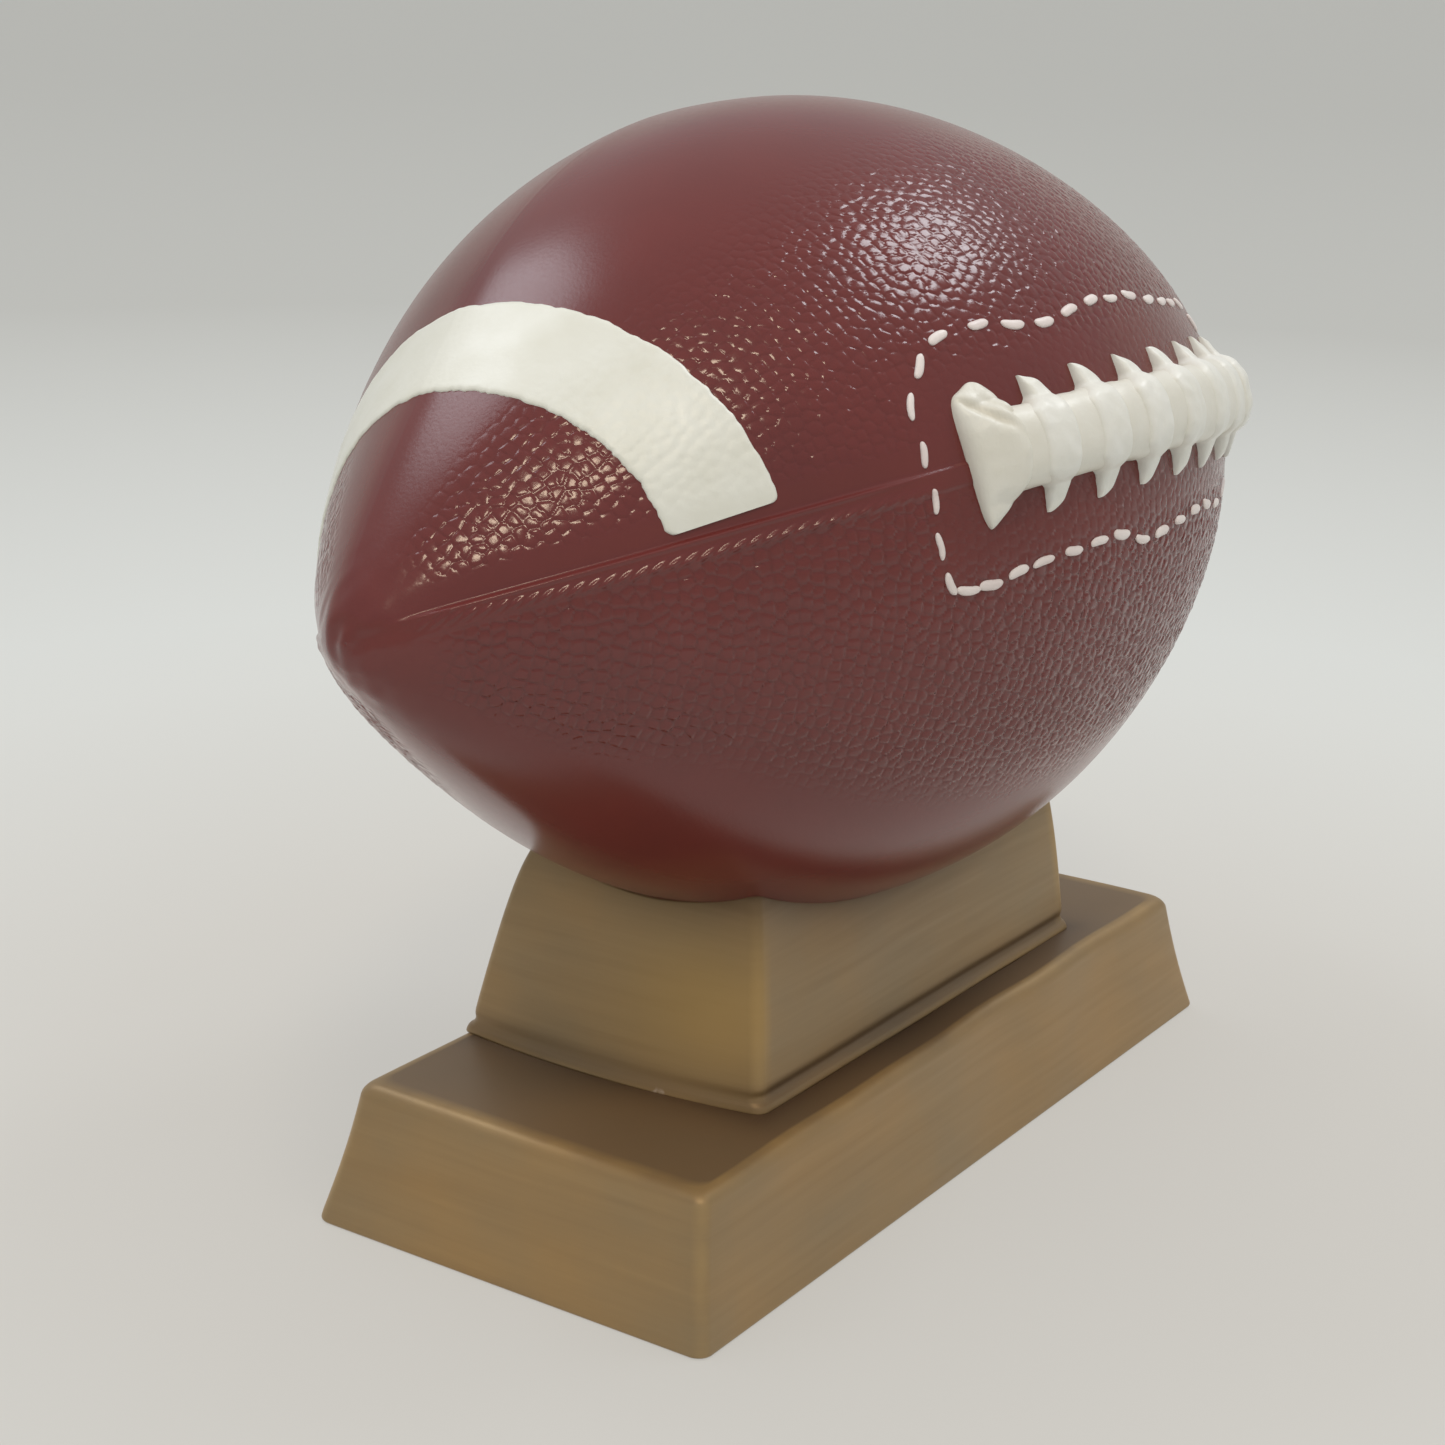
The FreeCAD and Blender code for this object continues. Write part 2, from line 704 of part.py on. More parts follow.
rod_top = "insert_low + insert_length - rod_end"
insert_top = "insert_low + insert_length"
insert = ring_profile("rod_radius + thread_gap", "insert_radius", "insert_low", insert_top)
washer = ring_profile("rod_hole_radius", "washer_radius", "washer_low", "cavity_top")
gasket = ring_profile("plug_radius + cap_gap", "cap_radius", "gasket_low", "collar_step")

pieces = [
    upper_shell(),
    lower_shell(),
    rod_blocks(),
    stripe("stripe_left", "-stripe_near - stripe_width"),
    stripe("stripe_right", "stripe_near"),
    panel_stitches(),
    *lacing(),
    pedestal(),
    base(),
    rod_set("tie_rods", ring_profile("0", "rod_radius", "rod_low", rod_top)),
    rod_set("rod_inserts", insert),
    rod_set("rod_washers", washer),
    rod_nuts(),
    bottom_plate(),
    plate_screws(),
    base_pad(),
    stopper_collar(),
    stopper(),
    turned_piece("stopper_gasket", gasket, y="base_shift"),
]
doc.recompute()

failed = [item.Label for item in doc.Objects if {"Invalid", "Error"} & set(item.State)]
failed += [piece.Label for piece in pieces if piece.Shape.isNull() or not piece.Shape.isValid()]
if failed:
    raise ValueError(f"these did not build: {failed}")

os.makedirs("parts", exist_ok=True)
for piece in pieces:
    piece.Shape.exportStep(f"parts/{piece.Label}.step")
    print(piece.Label, len(piece.Shape.Solids), round(piece.Shape.Volume, 1))
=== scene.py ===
import math

import bmesh
import bpy
import numpy as np
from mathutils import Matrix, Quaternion, Vector


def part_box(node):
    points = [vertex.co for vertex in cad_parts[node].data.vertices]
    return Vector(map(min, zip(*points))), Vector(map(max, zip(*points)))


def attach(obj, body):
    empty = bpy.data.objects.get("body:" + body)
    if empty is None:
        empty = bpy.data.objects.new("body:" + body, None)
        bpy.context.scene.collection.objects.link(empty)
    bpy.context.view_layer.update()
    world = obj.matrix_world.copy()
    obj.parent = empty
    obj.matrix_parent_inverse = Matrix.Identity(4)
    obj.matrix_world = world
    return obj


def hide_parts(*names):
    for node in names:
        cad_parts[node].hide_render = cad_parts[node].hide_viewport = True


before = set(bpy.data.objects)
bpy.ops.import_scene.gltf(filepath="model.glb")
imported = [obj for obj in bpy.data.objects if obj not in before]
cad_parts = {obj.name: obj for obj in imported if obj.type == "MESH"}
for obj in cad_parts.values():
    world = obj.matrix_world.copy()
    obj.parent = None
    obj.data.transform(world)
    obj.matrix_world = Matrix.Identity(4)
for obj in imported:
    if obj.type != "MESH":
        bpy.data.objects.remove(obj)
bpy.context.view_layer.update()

# A football keepsake: a pebbled maroon ball with white bands and raised lacing, cast in two halves
# and clamped to a stepped stand painted like old bronze. Metres, +Z up, the lacing faces -Y.


# Base
# The lower tier of the stand, a hollow resin casting with leaning sides and soft edges.
# It stands on its rim, is brushed with bronze paint, and has a passage through its deck.

base_low, base_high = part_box("base")
base_height = base_high.z
base_middle = (base_low.y + base_high.y) / 2
base_foot = np.array([base_high.x, base_high.y - base_middle])
base_lean = np.array([0.0070, 0.0052])
base_dish = 0.0004
base_edge = 0.0024
base_foot_edge = 0.0009
base_corner = 0.0028
base_wall = 0.006
base_deck = 0.006
passage_half = np.array([0.028, 0.020])
passage_corner = 0.001
near_corner_pull = np.array([-0.0036, -0.0024])
cast_unevenness = 0.00022
base_wave_length = 0.045
base_wave_shares = [1, 1, 0.4]
edge_wear_width = 0.0010
deck_shade_reach = 0.005
pedestal_foot = np.array([0.0609, 0.0336])


def waves(points, length, seed):
    """Smooth unevenness of about -1 to 1: a mean of sines that run in random directions."""
    rng = np.random.default_rng(seed)
    ways = rng.normal(size=(12, points.shape[-1]))
    ways /= np.linalg.norm(ways, axis=1, keepdims=True)
    pace = 2 * np.pi / length * rng.uniform(0.6, 1.6, (12, 1))
    return np.sin(points @ (ways * pace).T + rng.uniform(0, 2 * np.pi, 12)).sum(-1) / 4


def ridge(distance, place, width):
    """A bell curve of height 1 at a place."""
    return np.exp(-(((distance - place) / width) ** 2))


def ring_template(side_steps, corner_steps):
    """A rounded rectangle's stations: the corner each belongs to, which slides from -1 to 1
    along a side, and the direction of the corner's arc there."""
    corner = np.array([[1, 1], [-1, 1], [-1, -1], [1, -1]])
    slide = np.linspace(0, 1, side_steps + 2)[1:-1]
    along = np.concatenate([np.zeros(corner_steps), slide])[:, None]
    swing = np.concatenate([np.linspace(0, 1, corner_steps), np.ones(side_steps)])
    angle = (np.arange(4)[:, None] + swing) * np.pi / 2
    place = corner[:, None] * (1 - along) + np.roll(corner, -1, axis=0)[:, None] * along
    return place.reshape(-1, 2), np.stack([np.cos(angle), np.sin(angle)], -1).reshape(-1, 2)


def stacked_rings(ring, half, corner, height):
    """Rounded rectangles of the given half sizes and corner radii, one row for each height."""
    place, arc = ring
    flat = place * (half - corner[..., None]) + arc * corner[..., None]
    return np.concatenate([flat, np.broadcast_to(height[..., None], flat.shape[:-1] + (1,))], -1)


def put_mesh(name, grid, closed_rows=False, capped=False, masks=None, facing=None):
    """A piece from grids of points whose columns close round it. Its rows may close too, or a cap
    fills what they leave open. Rows that shrink to a point become one point, the faces are turned
    outwards, and facing gives normals for the points that have one."""
    grids = grid.reshape(-1, *grid.shape[-3:])
    numbers = np.arange(grids[..., 0].size).reshape(grids.shape[:3])
    if closed_rows:
        numbers = np.concatenate([numbers, numbers[:, :1]], axis=1)
    beside = np.roll(numbers, -1, axis=2)
    corners = [numbers[:, :-1], beside[:, :-1], beside[:, 1:], numbers[:, 1:]]
    mesh = bpy.data.meshes.new(name)
    mesh.from_pydata(grids.reshape(-1, 3), [], np.stack(corners, -1).reshape(-1, 4))
    for mask, value in (masks or {}).items():
        layer = mesh.attributes.new(mask, "FLOAT", "POINT")
        spots = np.broadcast_to(value, grids.shape[:3]).astype(np.float32)
        layer.data.foreach_set("value", spots.ravel())
    if facing is not None:
        layer = mesh.attributes.new("facing", "FLOAT_VECTOR", "POINT")
        layer.data.foreach_set("vector", facing.astype(np.float32).ravel())
    shape = bmesh.new()
    shape.from_mesh(mesh)
    bmesh.ops.remove_doubles(shape, verts=shape.verts, dist=1e-7)
    if capped:
        bmesh.ops.holes_fill(shape, edges=shape.edges, sides=0)
        bmesh.ops.recalc_face_normals(shape, faces=shape.faces)
    if shape.calc_volume(signed=True) < 0:
        bmesh.ops.reverse_faces(shape, faces=shape.faces)
    shape.to_mesh(mesh)
    shape.free()
    mesh.shade_smooth()
    if facing is not None:
        kept = np.empty(len(mesh.vertices) * 3, np.float32)
        mesh.attributes["facing"].data.foreach_get("vector", kept)
        mesh.attributes.remove(mesh.attributes["facing"])
        mesh.normals_split_custom_set_from_vertices(kept.reshape(-1, 3))
    piece = bpy.data.objects.new(name, mesh)
    bpy.context.scene.collection.objects.link(piece)
    return piece


def finish_piece(piece, material, slot, *nodes):
    """Paint a new piece and let it stand for its CAD nodes on the keepsake's body."""
    piece.data.materials.append(material)
    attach(piece, "keepsake")
    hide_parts(*nodes)


def quarter(steps):
    """The two legs of a quarter round, from 0, 0 to 1, 1."""
    angle = np.linspace(0, np.pi / 2, steps)
    return np.sin(angle), 1 - np.cos(angle)


def base_rows():
    """Half sizes, corner radius and height of each row: round the foot, up the leaning wall, over
    the rounded edge and the deck, down the passage and back to the rim inside."""
    climb, fall = quarter(8)
    wall = np.linspace(base_foot_edge, base_height - base_edge, 26)[1:-1]
    heights = np.concatenate([base_foot_edge * fall, wall, base_height - base_edge * (1 - climb)])
    insets = np.concatenate([base_foot_edge * (1 - climb), 0 * wall, base_edge * fall])
    dish = base_dish * np.sin(np.pi * heights / base_height)
    outer = base_foot - base_lean * (heights / base_height)[:, None] - (insets + dish)[:, None]
    deck = np.linspace(0, 1, 26)[1:, None]
    deck_half = outer[-1] * (1 - deck) + passage_half * deck
    under = base_height - base_deck
    roof = base_foot - base_wall - base_lean * under / base_height
    inside = np.stack([passage_half, roof, base_foot - base_wall])
    half = np.concatenate([outer, deck_half, inside])
    height = np.concatenate([heights, np.full(len(deck), base_height), [under, under, 0.0]])
    deck_corner = base_corner * (1 - deck[:, 0]) + passage_corner * deck[:, 0]
    corner = np.concatenate([base_corner + 0 * heights, deck_corner,
                             [passage_corner, base_corner, base_corner]])
    part = np.repeat(["wall", "deck", "inside"], [len(heights), len(deck), 3])
    return half, corner, height, part


ring = ring_template(side_steps=46, corner_steps=9)
half, corner, height, part = base_rows()
base_grid = stacked_rings(ring, half[:, None], corner[:, None], height[:, None])
uneven = waves(base_grid, base_wave_length, 1)[..., None] * base_wave_shares
base_shape = base_grid + cast_unevenness * uneven * (base_grid[..., 2:] >= base_foot_edge)
near_share = np.prod((1 - base_grid[..., :2] / base_foot) / 2, axis=-1, keepdims=True)
base_shape[..., :2] += near_corner_pull * near_share * (part != "inside")[:, None, None]
base_shape[..., 1] += base_middle

corner_share = (np.abs(ring[0]).min(-1) == 1) * np.sin(2 * np.arctan2(*np.abs(ring[1]).T)) ** 2
edge_share = ridge(height, base_height, edge_wear_width) * (part == "wall")
base_worn = np.maximum(corner_share * (part == "wall")[:, None], edge_share[:, None])
# Painted shade on the deck, darkest at the pedestal's foot and fading out away from it.
beyond = np.maximum(np.abs(base_grid[..., :2] + [0, base_middle]) - pedestal_foot, 0)
base_painted_shade = np.exp(-np.linalg.norm(beyond, axis=-1) / deck_shade_reach) * (part == "deck")[:, None]
base_masks = {"worn": base_worn, "painted_recess_shade": base_painted_shade, "deck": (part == "deck")[:, None]}
base = put_mesh("base_casting", base_shape, closed_rows=True, masks=base_masks)


def add_node(tree, kind, inputs=None, **settings):
    """A new shader node with its settings, and its inputs linked or filled by name or number."""
    node = tree.nodes.new(kind)
    for name, setting in settings.items():
        setattr(node, name, setting)
    for name, source in (inputs or {}).items():
        if isinstance(source, bpy.types.NodeSocket):
            tree.links.new(source, node.inputs[name])
        else:
            node.inputs[name].default_value = source
    return node


def mixed(tree, share, first, second):
    """The colour between first and second."""
    node = add_node(tree, "ShaderNodeMix", {0: share, 6: first, 7: second}, data_type="RGBA")
    return node.outputs[2]


def spread(tree, value, low, high, to_low=0.0, to_high=1.0):
    """A value taken from low..high to to_low..to_high and held inside it."""
    inputs = {"Value": value, "From Min": low, "From Max": high, "To Min": to_low, "To Max": to_high}
    return add_node(tree, "ShaderNodeMapRange", inputs).outputs[0]


def maths(tree, operation, first, second):
    """Two values put together by one operation."""
    return add_node(tree, "ShaderNodeMath", {0: first, 1: second}, operation=operation).outputs[0]


def new_group(name, inputs, outputs):
    """An empty shader node group with these sockets, and its two end nodes."""
    tree = bpy.data.node_groups.new(name, "ShaderNodeTree")
    for direction, sockets in (("INPUT", inputs), ("OUTPUT", outputs)):
        for socket, kind in sockets.items():
            tree.interface.new_socket(socket, in_out=direction, socket_type=f"NodeSocket{kind}")
    return tree, tree.nodes.new("NodeGroupInput").outputs, tree.nodes.new("NodeGroupOutput").inputs


def mottle_group():
    """Clouds between two colours, stretched by a vector of cycles a metre along X, Y and Z."""
    sockets = {"Light": "Color", "Dark": "Color", "Cycles": "Vector", "Contrast": "Float"}
    tree, given, out = new_group("mottle", sockets, {"Color": "Color", "Mask": "Float"})
    place = add_node(tree, "ShaderNodeTexCoord").outputs["Object"]
    scaled = add_node(tree, "ShaderNodeVectorMath", {0: place, 1: given["Cycles"]}, operation="MULTIPLY")
    inputs = {"Vector": scaled.outputs[0], "Scale": 1.0, "Detail": 5.0}
    noise = add_node(tree, "ShaderNodeTexNoise", inputs)
    low = maths(tree, "SUBTRACT", 0.5, maths(tree, "DIVIDE", 0.25, given["Contrast"]))
    high = maths(tree, "ADD", 0.5, maths(tree, "DIVIDE", 0.25, given["Contrast"]))
    mask = spread(tree, noise.outputs["Fac"], low, high)
    tree.links.new(mask, out["Mask"])
    tree.links.new(mixed(tree, mask, given["Dark"], given["Light"]), out["Color"])
    return tree


mottle_tree = mottle_group()


def mottled(tree, light, dark, cycles, contrast=1.0):
    """The mottle group placed in a material: its colour and its mask."""
    inputs = {"Light": light, "Dark": dark, "Cycles": cycles, "Contrast": contrast}
    node = add_node(tree, "ShaderNodeGroup", inputs, node_tree=mottle_tree)
    return node.outputs["Color"], node.outputs["Mask"]


def mask_of(tree, name):
    """A mask that the piece's own mesh carries."""
    return add_node(tree, "ShaderNodeAttribute", attribute_name=name).outputs["Fac"]


def tinted(tree, colour, tint, mask, most):
    """A colour that moves towards a tint by up to a share, as far as a mask of the piece says."""
    return mixed(tree, spread(tree, mask_of(tree, mask), 0, 1, 0, most), colour, tint)


def new_material(name, **plain):
    """A material whose Principled shader starts from these plain values."""
    material = bpy.data.materials.new(name)
    material.use_nodes = True
    shader = material.node_tree.nodes["Principled BSDF"]
    for socket, value in plain.items():
        shader.inputs[socket.replace("_", " ")].default_value = value
    return material, material.node_tree, shader


def drive(tree, shader, **sources):
    """Link sources to the shader's sockets."""
    for socket, source in sources.items():
        tree.links.new(source, shader.inputs[socket.replace("_", " ")])


def bumped(tree, height, distance):
    """A normal tilted by a height mask."""
    inputs = {"Height": height, "Distance": distance, "Strength": 1.0}
    return add_node(tree, "ShaderNodeBump", inputs).outputs["Normal"]


def bronze_paint():
    """Bronze paint brushed on in level strokes: browner on the deck, partly as painted shade from the
    ball above, rubbed golden on edges, gilded in a patch on the pedestal's ends, with painted shade
    where the pedestal meets the deck, over its bead and under the ball, and chipped pale along its foot."""
    material, tree, shader = new_material("bronze_paint", Metallic=0.35)
    warm = (0.365, 0.222, 0.085, 1)
    olive = (0.268, 0.196, 0.106, 1)
    umber_and_shade = (0.185, 0.120, 0.068, 1)
    rubbed = (0.500, 0.325, 0.120, 1)
    gilding = (0.420, 0.262, 0.080, 1)
    # The darkest tone serves both the brush strokes and the painted shade.
    stroke_dark_and_shade = (0.085, 0.046, 0.024, 1)
    chipped = (0.640, 0.500, 0.400, 1)
    clouds, _ = mottled(tree, warm, olive, (24, 24, 34))
    _, strokes = mottled(tree, warm, olive, (26, 26, 700), 0.8)
    _, rubs = mottled(tree, warm, olive, (90, 90, 90), 1.5)
    _, specks = mottled(tree, warm, olive, (110, 110, 110), 1.0)
    brushed = mixed(tree, spread(tree, strokes, 0, 1, 0.0, 0.14), clouds, stroke_dark_and_shade)
    # The deck turns umber: partly the paint's own browner tone, partly painted shade from the ball above.
    deck = tinted(tree, brushed, umber_and_shade, "deck", 0.62)
    gilt = tinted(tree, deck, gilding, "gilt", 0.70)
    edges = maths(tree, "MULTIPLY", mask_of(tree, "worn"), spread(tree, rubs, 0, 1, 0.05, 0.45))
    worn = mixed(tree, edges, gilt, rubbed)
    # Painted shade: darker near the pedestal's foot, over its bead and under the ball.
    with_painted_shade = tinted(tree, worn, stroke_dark_and_shade, "painted_recess_shade", 0.75)
    chips = maths(tree, "MULTIPLY", mask_of(tree, "chips"), spread(tree, specks, 0.72, 0.85))
    colour = mixed(tree, chips, with_painted_shade, chipped)
    drive(tree, shader, Base_Color=colour, Roughness=spread(tree, strokes, 0, 1, 0.40, 0.52),
          Normal=bumped(tree, strokes, 0.00003))
    return material


bronze = bronze_paint()
finish_piece(base, bronze, "bronze_paint", "base")


# Pedestal
# The upper tier, a hollow casting in the same bronze paint. A bead runs along its foot, with a
# groove above it on the long sides, and its top is cut to a saddle that holds the ball.

_, ball_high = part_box("ball_lower_shell")
ball_half = ball_high.x
ball_radius = 0.076
belly_angle = math.radians(35.3)
nose_angle = math.radians(40.5)
nose_radius = 0.007
nose_blunting = 0.0032
nose_blunt_width = 0.018
tip_blunting = 0.0020
tip_blunt_width = 0.0059
tip_flatness = 3.2
ball_roll = math.radians(19.4)
saddle_rise = 0.023
ball_centre = base_height + saddle_rise + ball_radius
panel_squareness = 0.0144
pedestal_draft = np.array([0.135, 0.1905])
pedestal_forward = -0.0655
pedestal_wall = 0.006
pedestal_corner = 0.0022
end_bow = 0.0034
end_bow_height = 0.014
pedestal_swell = 0.0005
swell_height = 0.05
bead_out = np.array([0.0001, 0.0008])
bead_height = 0.0017
groove_height = 0.0027
groove_depth = np.array([0.0001, 0.0005])
groove_width = 0.0010
foot_height = 0.006
top_lean = 0.0014
top_lean_reach = 0.005
sunk_in_ball = 0.0004
inner_rim_gap = 0.0002
pedestal_wave_length = 0.04
first_top = 0.03
inner_to_top = 0.02
under_ball_shade_reach = 0.006

# Each of these pairs is the place and the width of a bell curve.
foot_line_bell = (0.0005, 0.0004)
gilt_across = (-0.022, 0.020)
gilt_up = (0.018, 0.014)
under_ball_shade_across = (-0.028, 0.014)
end_cove_shade_bell = (0.0020, 0.0030)
side_cove_shade_bell = (groove_height, 0.0016)

# The belly and flank radii are the pair that brings the outline from the waist to the nose.
outline_run = ball_half - nose_radius + nose_radius * math.sin(nose_angle)
outline_fall = ball_radius - nose_radius * math.cos(nose_angle)
turns = np.array([
    [math.sin(belly_angle), math.sin(nose_angle) - math.sin(belly_angle)],
    [1 - math.cos(belly_angle), math.cos(belly_angle) - math.cos(nose_angle)],
])
belly_radius, flank_radius = np.linalg.solve(turns, [outline_run, outline_fall])
arc_radii = np.array([belly_radius, flank_radius, nose_radius])
arc_slopes = np.array([0, belly_angle, nose_angle, math.pi / 2])
arc_starts = np.concatenate([[0], np.cumsum(np.diff(arc_slopes) * arc_radii)])
half_run = arc_starts[-1]
belly_drop = ball_radius - belly_radius
flank_back = belly_radius - flank_radius
arc_centre_x = np.array([0, flank_back * math.sin(belly_angle), ball_half - nose_radius])
arc_centre_r = np.array([belly_drop, belly_drop + flank_back * math.cos(belly_angle), 0])


def ball_profile(arc):
    """Place along the axis, distance from it and slope of the ball's outline, at a distance along
    that outline from the waist: a belly arc, then a flank arc and a nose arc on each side, with
    the noses pressed in along the axis."""
    side, run = np.sign(arc), np.abs(arc)
    slope = side * np.interp(run, arc_starts, arc_slopes)
    part = np.searchsorted(arc_starts[1:-1], run)
    radius = arc_centre_r[part] + arc_radii[part] * np.cos(slope)
    pressed = nose_blunting * ridge(radius, 0, nose_blunt_width)
    pressed = pressed + tip_blunting * np.exp(-((radius / tip_blunt_width) ** tip_flatness))
    return side * (arc_centre_x[part] - pressed) + arc_radii[part] * np.sin(slope), radius, slope


outline_arc = np.linspace(-half_run, half_run, 2001)
outline_x, outline_r, _ = ball_profile(outline_arc)


def ball_underside(x, y):
    """Height of the ball's skin from below at x, y, by turns of the angle and the radius there."""
    z = ball_centre - ball_radius + 0 * x
    for _ in range(5):
        turn = np.arctan2(z - ball_centre, -y) - ball_roll
        radius = np.interp(x, outline_x, outline_r) * (1 + panel_squareness * np.cos(4 * turn))
        z = ball_centre - np.sqrt(np.maximum(radius**2 - y**2, 0))
    return z


def pedestal_outline(rise, to_top):
    """Half sizes of the pedestal at a height over the deck: a leaning, slightly swollen wall with
    a bead and groove at the foot, which leans in more just under the ball."""
    bead = np.sqrt(np.clip(1 - (rise / bead_height) ** 2, 0, 1))[..., None] * bead_out
    groove = ridge(rise, groove_height, groove_width)[..., None] * groove_depth
    swell = pedestal_swell * np.sin(np.pi * np.clip(rise / swell_height, 0, 1))
    lean = top_lean * np.exp(-to_top / top_lean_reach)
    return pedestal_foot - pedestal_draft * rise[..., None] + bead - groove + (swell - lean)[..., None]


def pedestal_rings(rise, to_top, inset=0.0):
    """Rounded rectangles at each height that lean forward, their ends bowed outwards, most at
    the foot."""
    half = pedestal_outline(rise, to_top) - inset
    rings = stacked_rings(ring, half, np.full(rise.shape, pedestal_corner), rise + base_height)
    across = np.clip(rings[..., 1] / half[..., 1], -1, 1)
    bow = end_bow * (1 - across**2) * np.exp(-rise / end_bow_height)
    rings[..., 0] += bow * np.sign(rings[..., 0]) * (np.abs(ring[0][:, 0]) == 1)
    rings[..., 1] += pedestal_forward * rise
    return rings


def pedestal_grid():
    """Rows up the outside from the deck to the saddle, in over its rim and down the inside."""
    low = np.linspace(0, foot_height, 22)[:, None]
    top = np.full(len(ring[0]), first_top)
    for _ in range(8):
        rim = pedestal_rings(top[None], 0 * top[None])[0]
        top = ball_underside(rim[:, 0], rim[:, 1]) - base_height + sunk_in_ball
    high = low[-1] + np.linspace(0, 1, 44)[1:, None] * (top - low[-1])
    rise = np.concatenate([low + 0 * top, high])
    outside = pedestal_rings(rise, top - rise)
    fall = np.linspace(1, 0, 8)[:, None]
    inside = pedestal_rings(fall * top, inner_to_top + 0 * top, pedestal_wall)
    inner_rim = ball_underside(inside[0, :, 0], inside[0, :, 1]) - inner_rim_gap
    inside[..., 2] = base_height + fall * (inner_rim - base_height)
    return np.concatenate([outside, inside]), rise, top - rise


grid, rise, to_top = pedestal_grid()
hidden = np.zeros((len(grid) - len(rise), len(ring[0])))
on_end = np.abs(ring[0][:, 0]) == 1
level_y = grid[: len(rise), :, 1]
foot_line = ridge(rise, *foot_line_bell)
gilt_spot = ridge(level_y, *gilt_across) * ridge(rise, *gilt_up) * on_end
# Painted shade: at the pedestal's top under the ball, strongest on the front side, and in a band above the
# bead.
under_ball_shade = np.exp(-to_top / under_ball_shade_reach) * (0.35 + 0.65 * ridge(level_y, *under_ball_shade_across))
cove_shade = np.where(on_end, 0.5 * ridge(rise, *end_cove_shade_bell), 0.9 * ridge(rise, *side_cove_shade_bell))
pedestal_masks = {
    "worn": np.maximum(0.3 * corner_share, 0.8 * foot_line),
    "painted_recess_shade": np.maximum(cove_shade, under_ball_shade),
    "gilt": gilt_spot,
    "chips": foot_line * on_end,
}
pedestal_masks = {name: np.concatenate([mask, hidden]) for name, mask in pedestal_masks.items()}
grid[..., :2] += cast_unevenness * waves(grid, pedestal_wave_length, 2)[..., None]
pedestal = put_mesh("pedestal_casting", grid, closed_rows=True, masks=pedestal_masks)
finish_piece(pedestal, bronze, "bronze_paint", "pedestal")


# Ball
# Two cast halves glued along the front and back seams, moulded as four pebbled panels with corded
# seams towards the blunt noses. They are painted a satin maroon.

pebble_pitch = 0.0023
pebble_stray = 0.64
pebble_border = 0.55
pebble_tilt = 1.2
pebble_height = 0.00021
pebble_body = 0.50
pebble_dome = 0.30
pebble_level = 0.32
lower_pebble_share = 2.0
laced_pebble_share = 0.35
smooth_from = math.radians(41)
smooth_to = math.radians(58)
nose_climb = math.radians(8)
normal_step = 0.00012
band_rise = 0.00026
line_rise = 0.00034
cord_place = -0.0015
cord_width = 0.0009
cord_rise = 0.00040
strand_pitch = 0.0013
strand_share = 0.4
strand_across = 0.89
strand_along = 0.45
shoulder_drop = 0.00012
corded_shoulder_drop = 0.00030
back_seam_share = 0.5
top_crest_rise = 0.00030
top_crest_width = 0.0055
top_line_rise = 0.00003
top_line_width = 0.0006
low_crest_rise = 0.00020
low_crest_width = 0.0075
crinkle_rise = 0.00020
crinkle_length = 0.005
crinkle_reach = 0.010
notch_depth = 0.0005
notch_width = 0.0016
clear_middle = 0.0020
shell_wall = 0.005
panel_rows = 370
front_seam, top_seam, back_seam, low_seam = 0.0, math.pi / 2, math.pi, -math.pi / 2

# Each of these pairs is the place and the width of a bell curve.
line_bell = (0.0012, 0.00050)
notch_bell = (0.006, 0.004)
seam_gloss_bell = (-0.0004, 0.0030)

# Each of these pairs is the start and the end of a soft step.
corded_arc = (0.050, 0.080)
cord_meeting = (0.010, 0.035)
band_low = (-0.0026, -0.0016)
band_high = (0.0010, 0.0017)
shoulder_near = (0.0012, 0.0020)
shoulder_far = (0.0020, 0.0072)
seam_clear = (0.0034, 0.0052)
nose_fade = (0.006, 0.016)
pebbled_radius = (0.010, 0.018)
nose_climb_arc = (0.090, 0.120)
laced_arc = (0.060, 0.056)
laced_across = (0.020, 0.016)


def skin_radius(arc):
    """Distance of the ball's outline from its axis."""
    return ball_profile(arc)[1]


def on_ball(arc, turn, height):
    """A point over the ball's skin: arc along its outline, turn round its axis from the front
    seam upwards, and height along the skin's normal."""
    x, radius, slope = ball_profile(arc)
    out = radius + height * np.cos(slope)
    tilt = turn + ball_roll
    parts = x + height * np.sin(slope), -out * np.cos(tilt), ball_centre + out * np.sin(tilt)
    return np.stack(np.broadcast_arrays(*parts), -1)


def soft_step(value, start, end):
    """0 before start, 1 after end and a smooth climb between them."""
    share = np.clip((value - start) / (end - start), 0, 1)
    return share * share * (3 - 2 * share)


def scatter(row, number, seed):
    """A fixed share from 0 to 1 for each pebble, taken from its row and its number in the row."""
    return np.modf(np.abs(np.sin(row * 12.9898 + number * 78.233 + seed) * 43758.5453))[0]


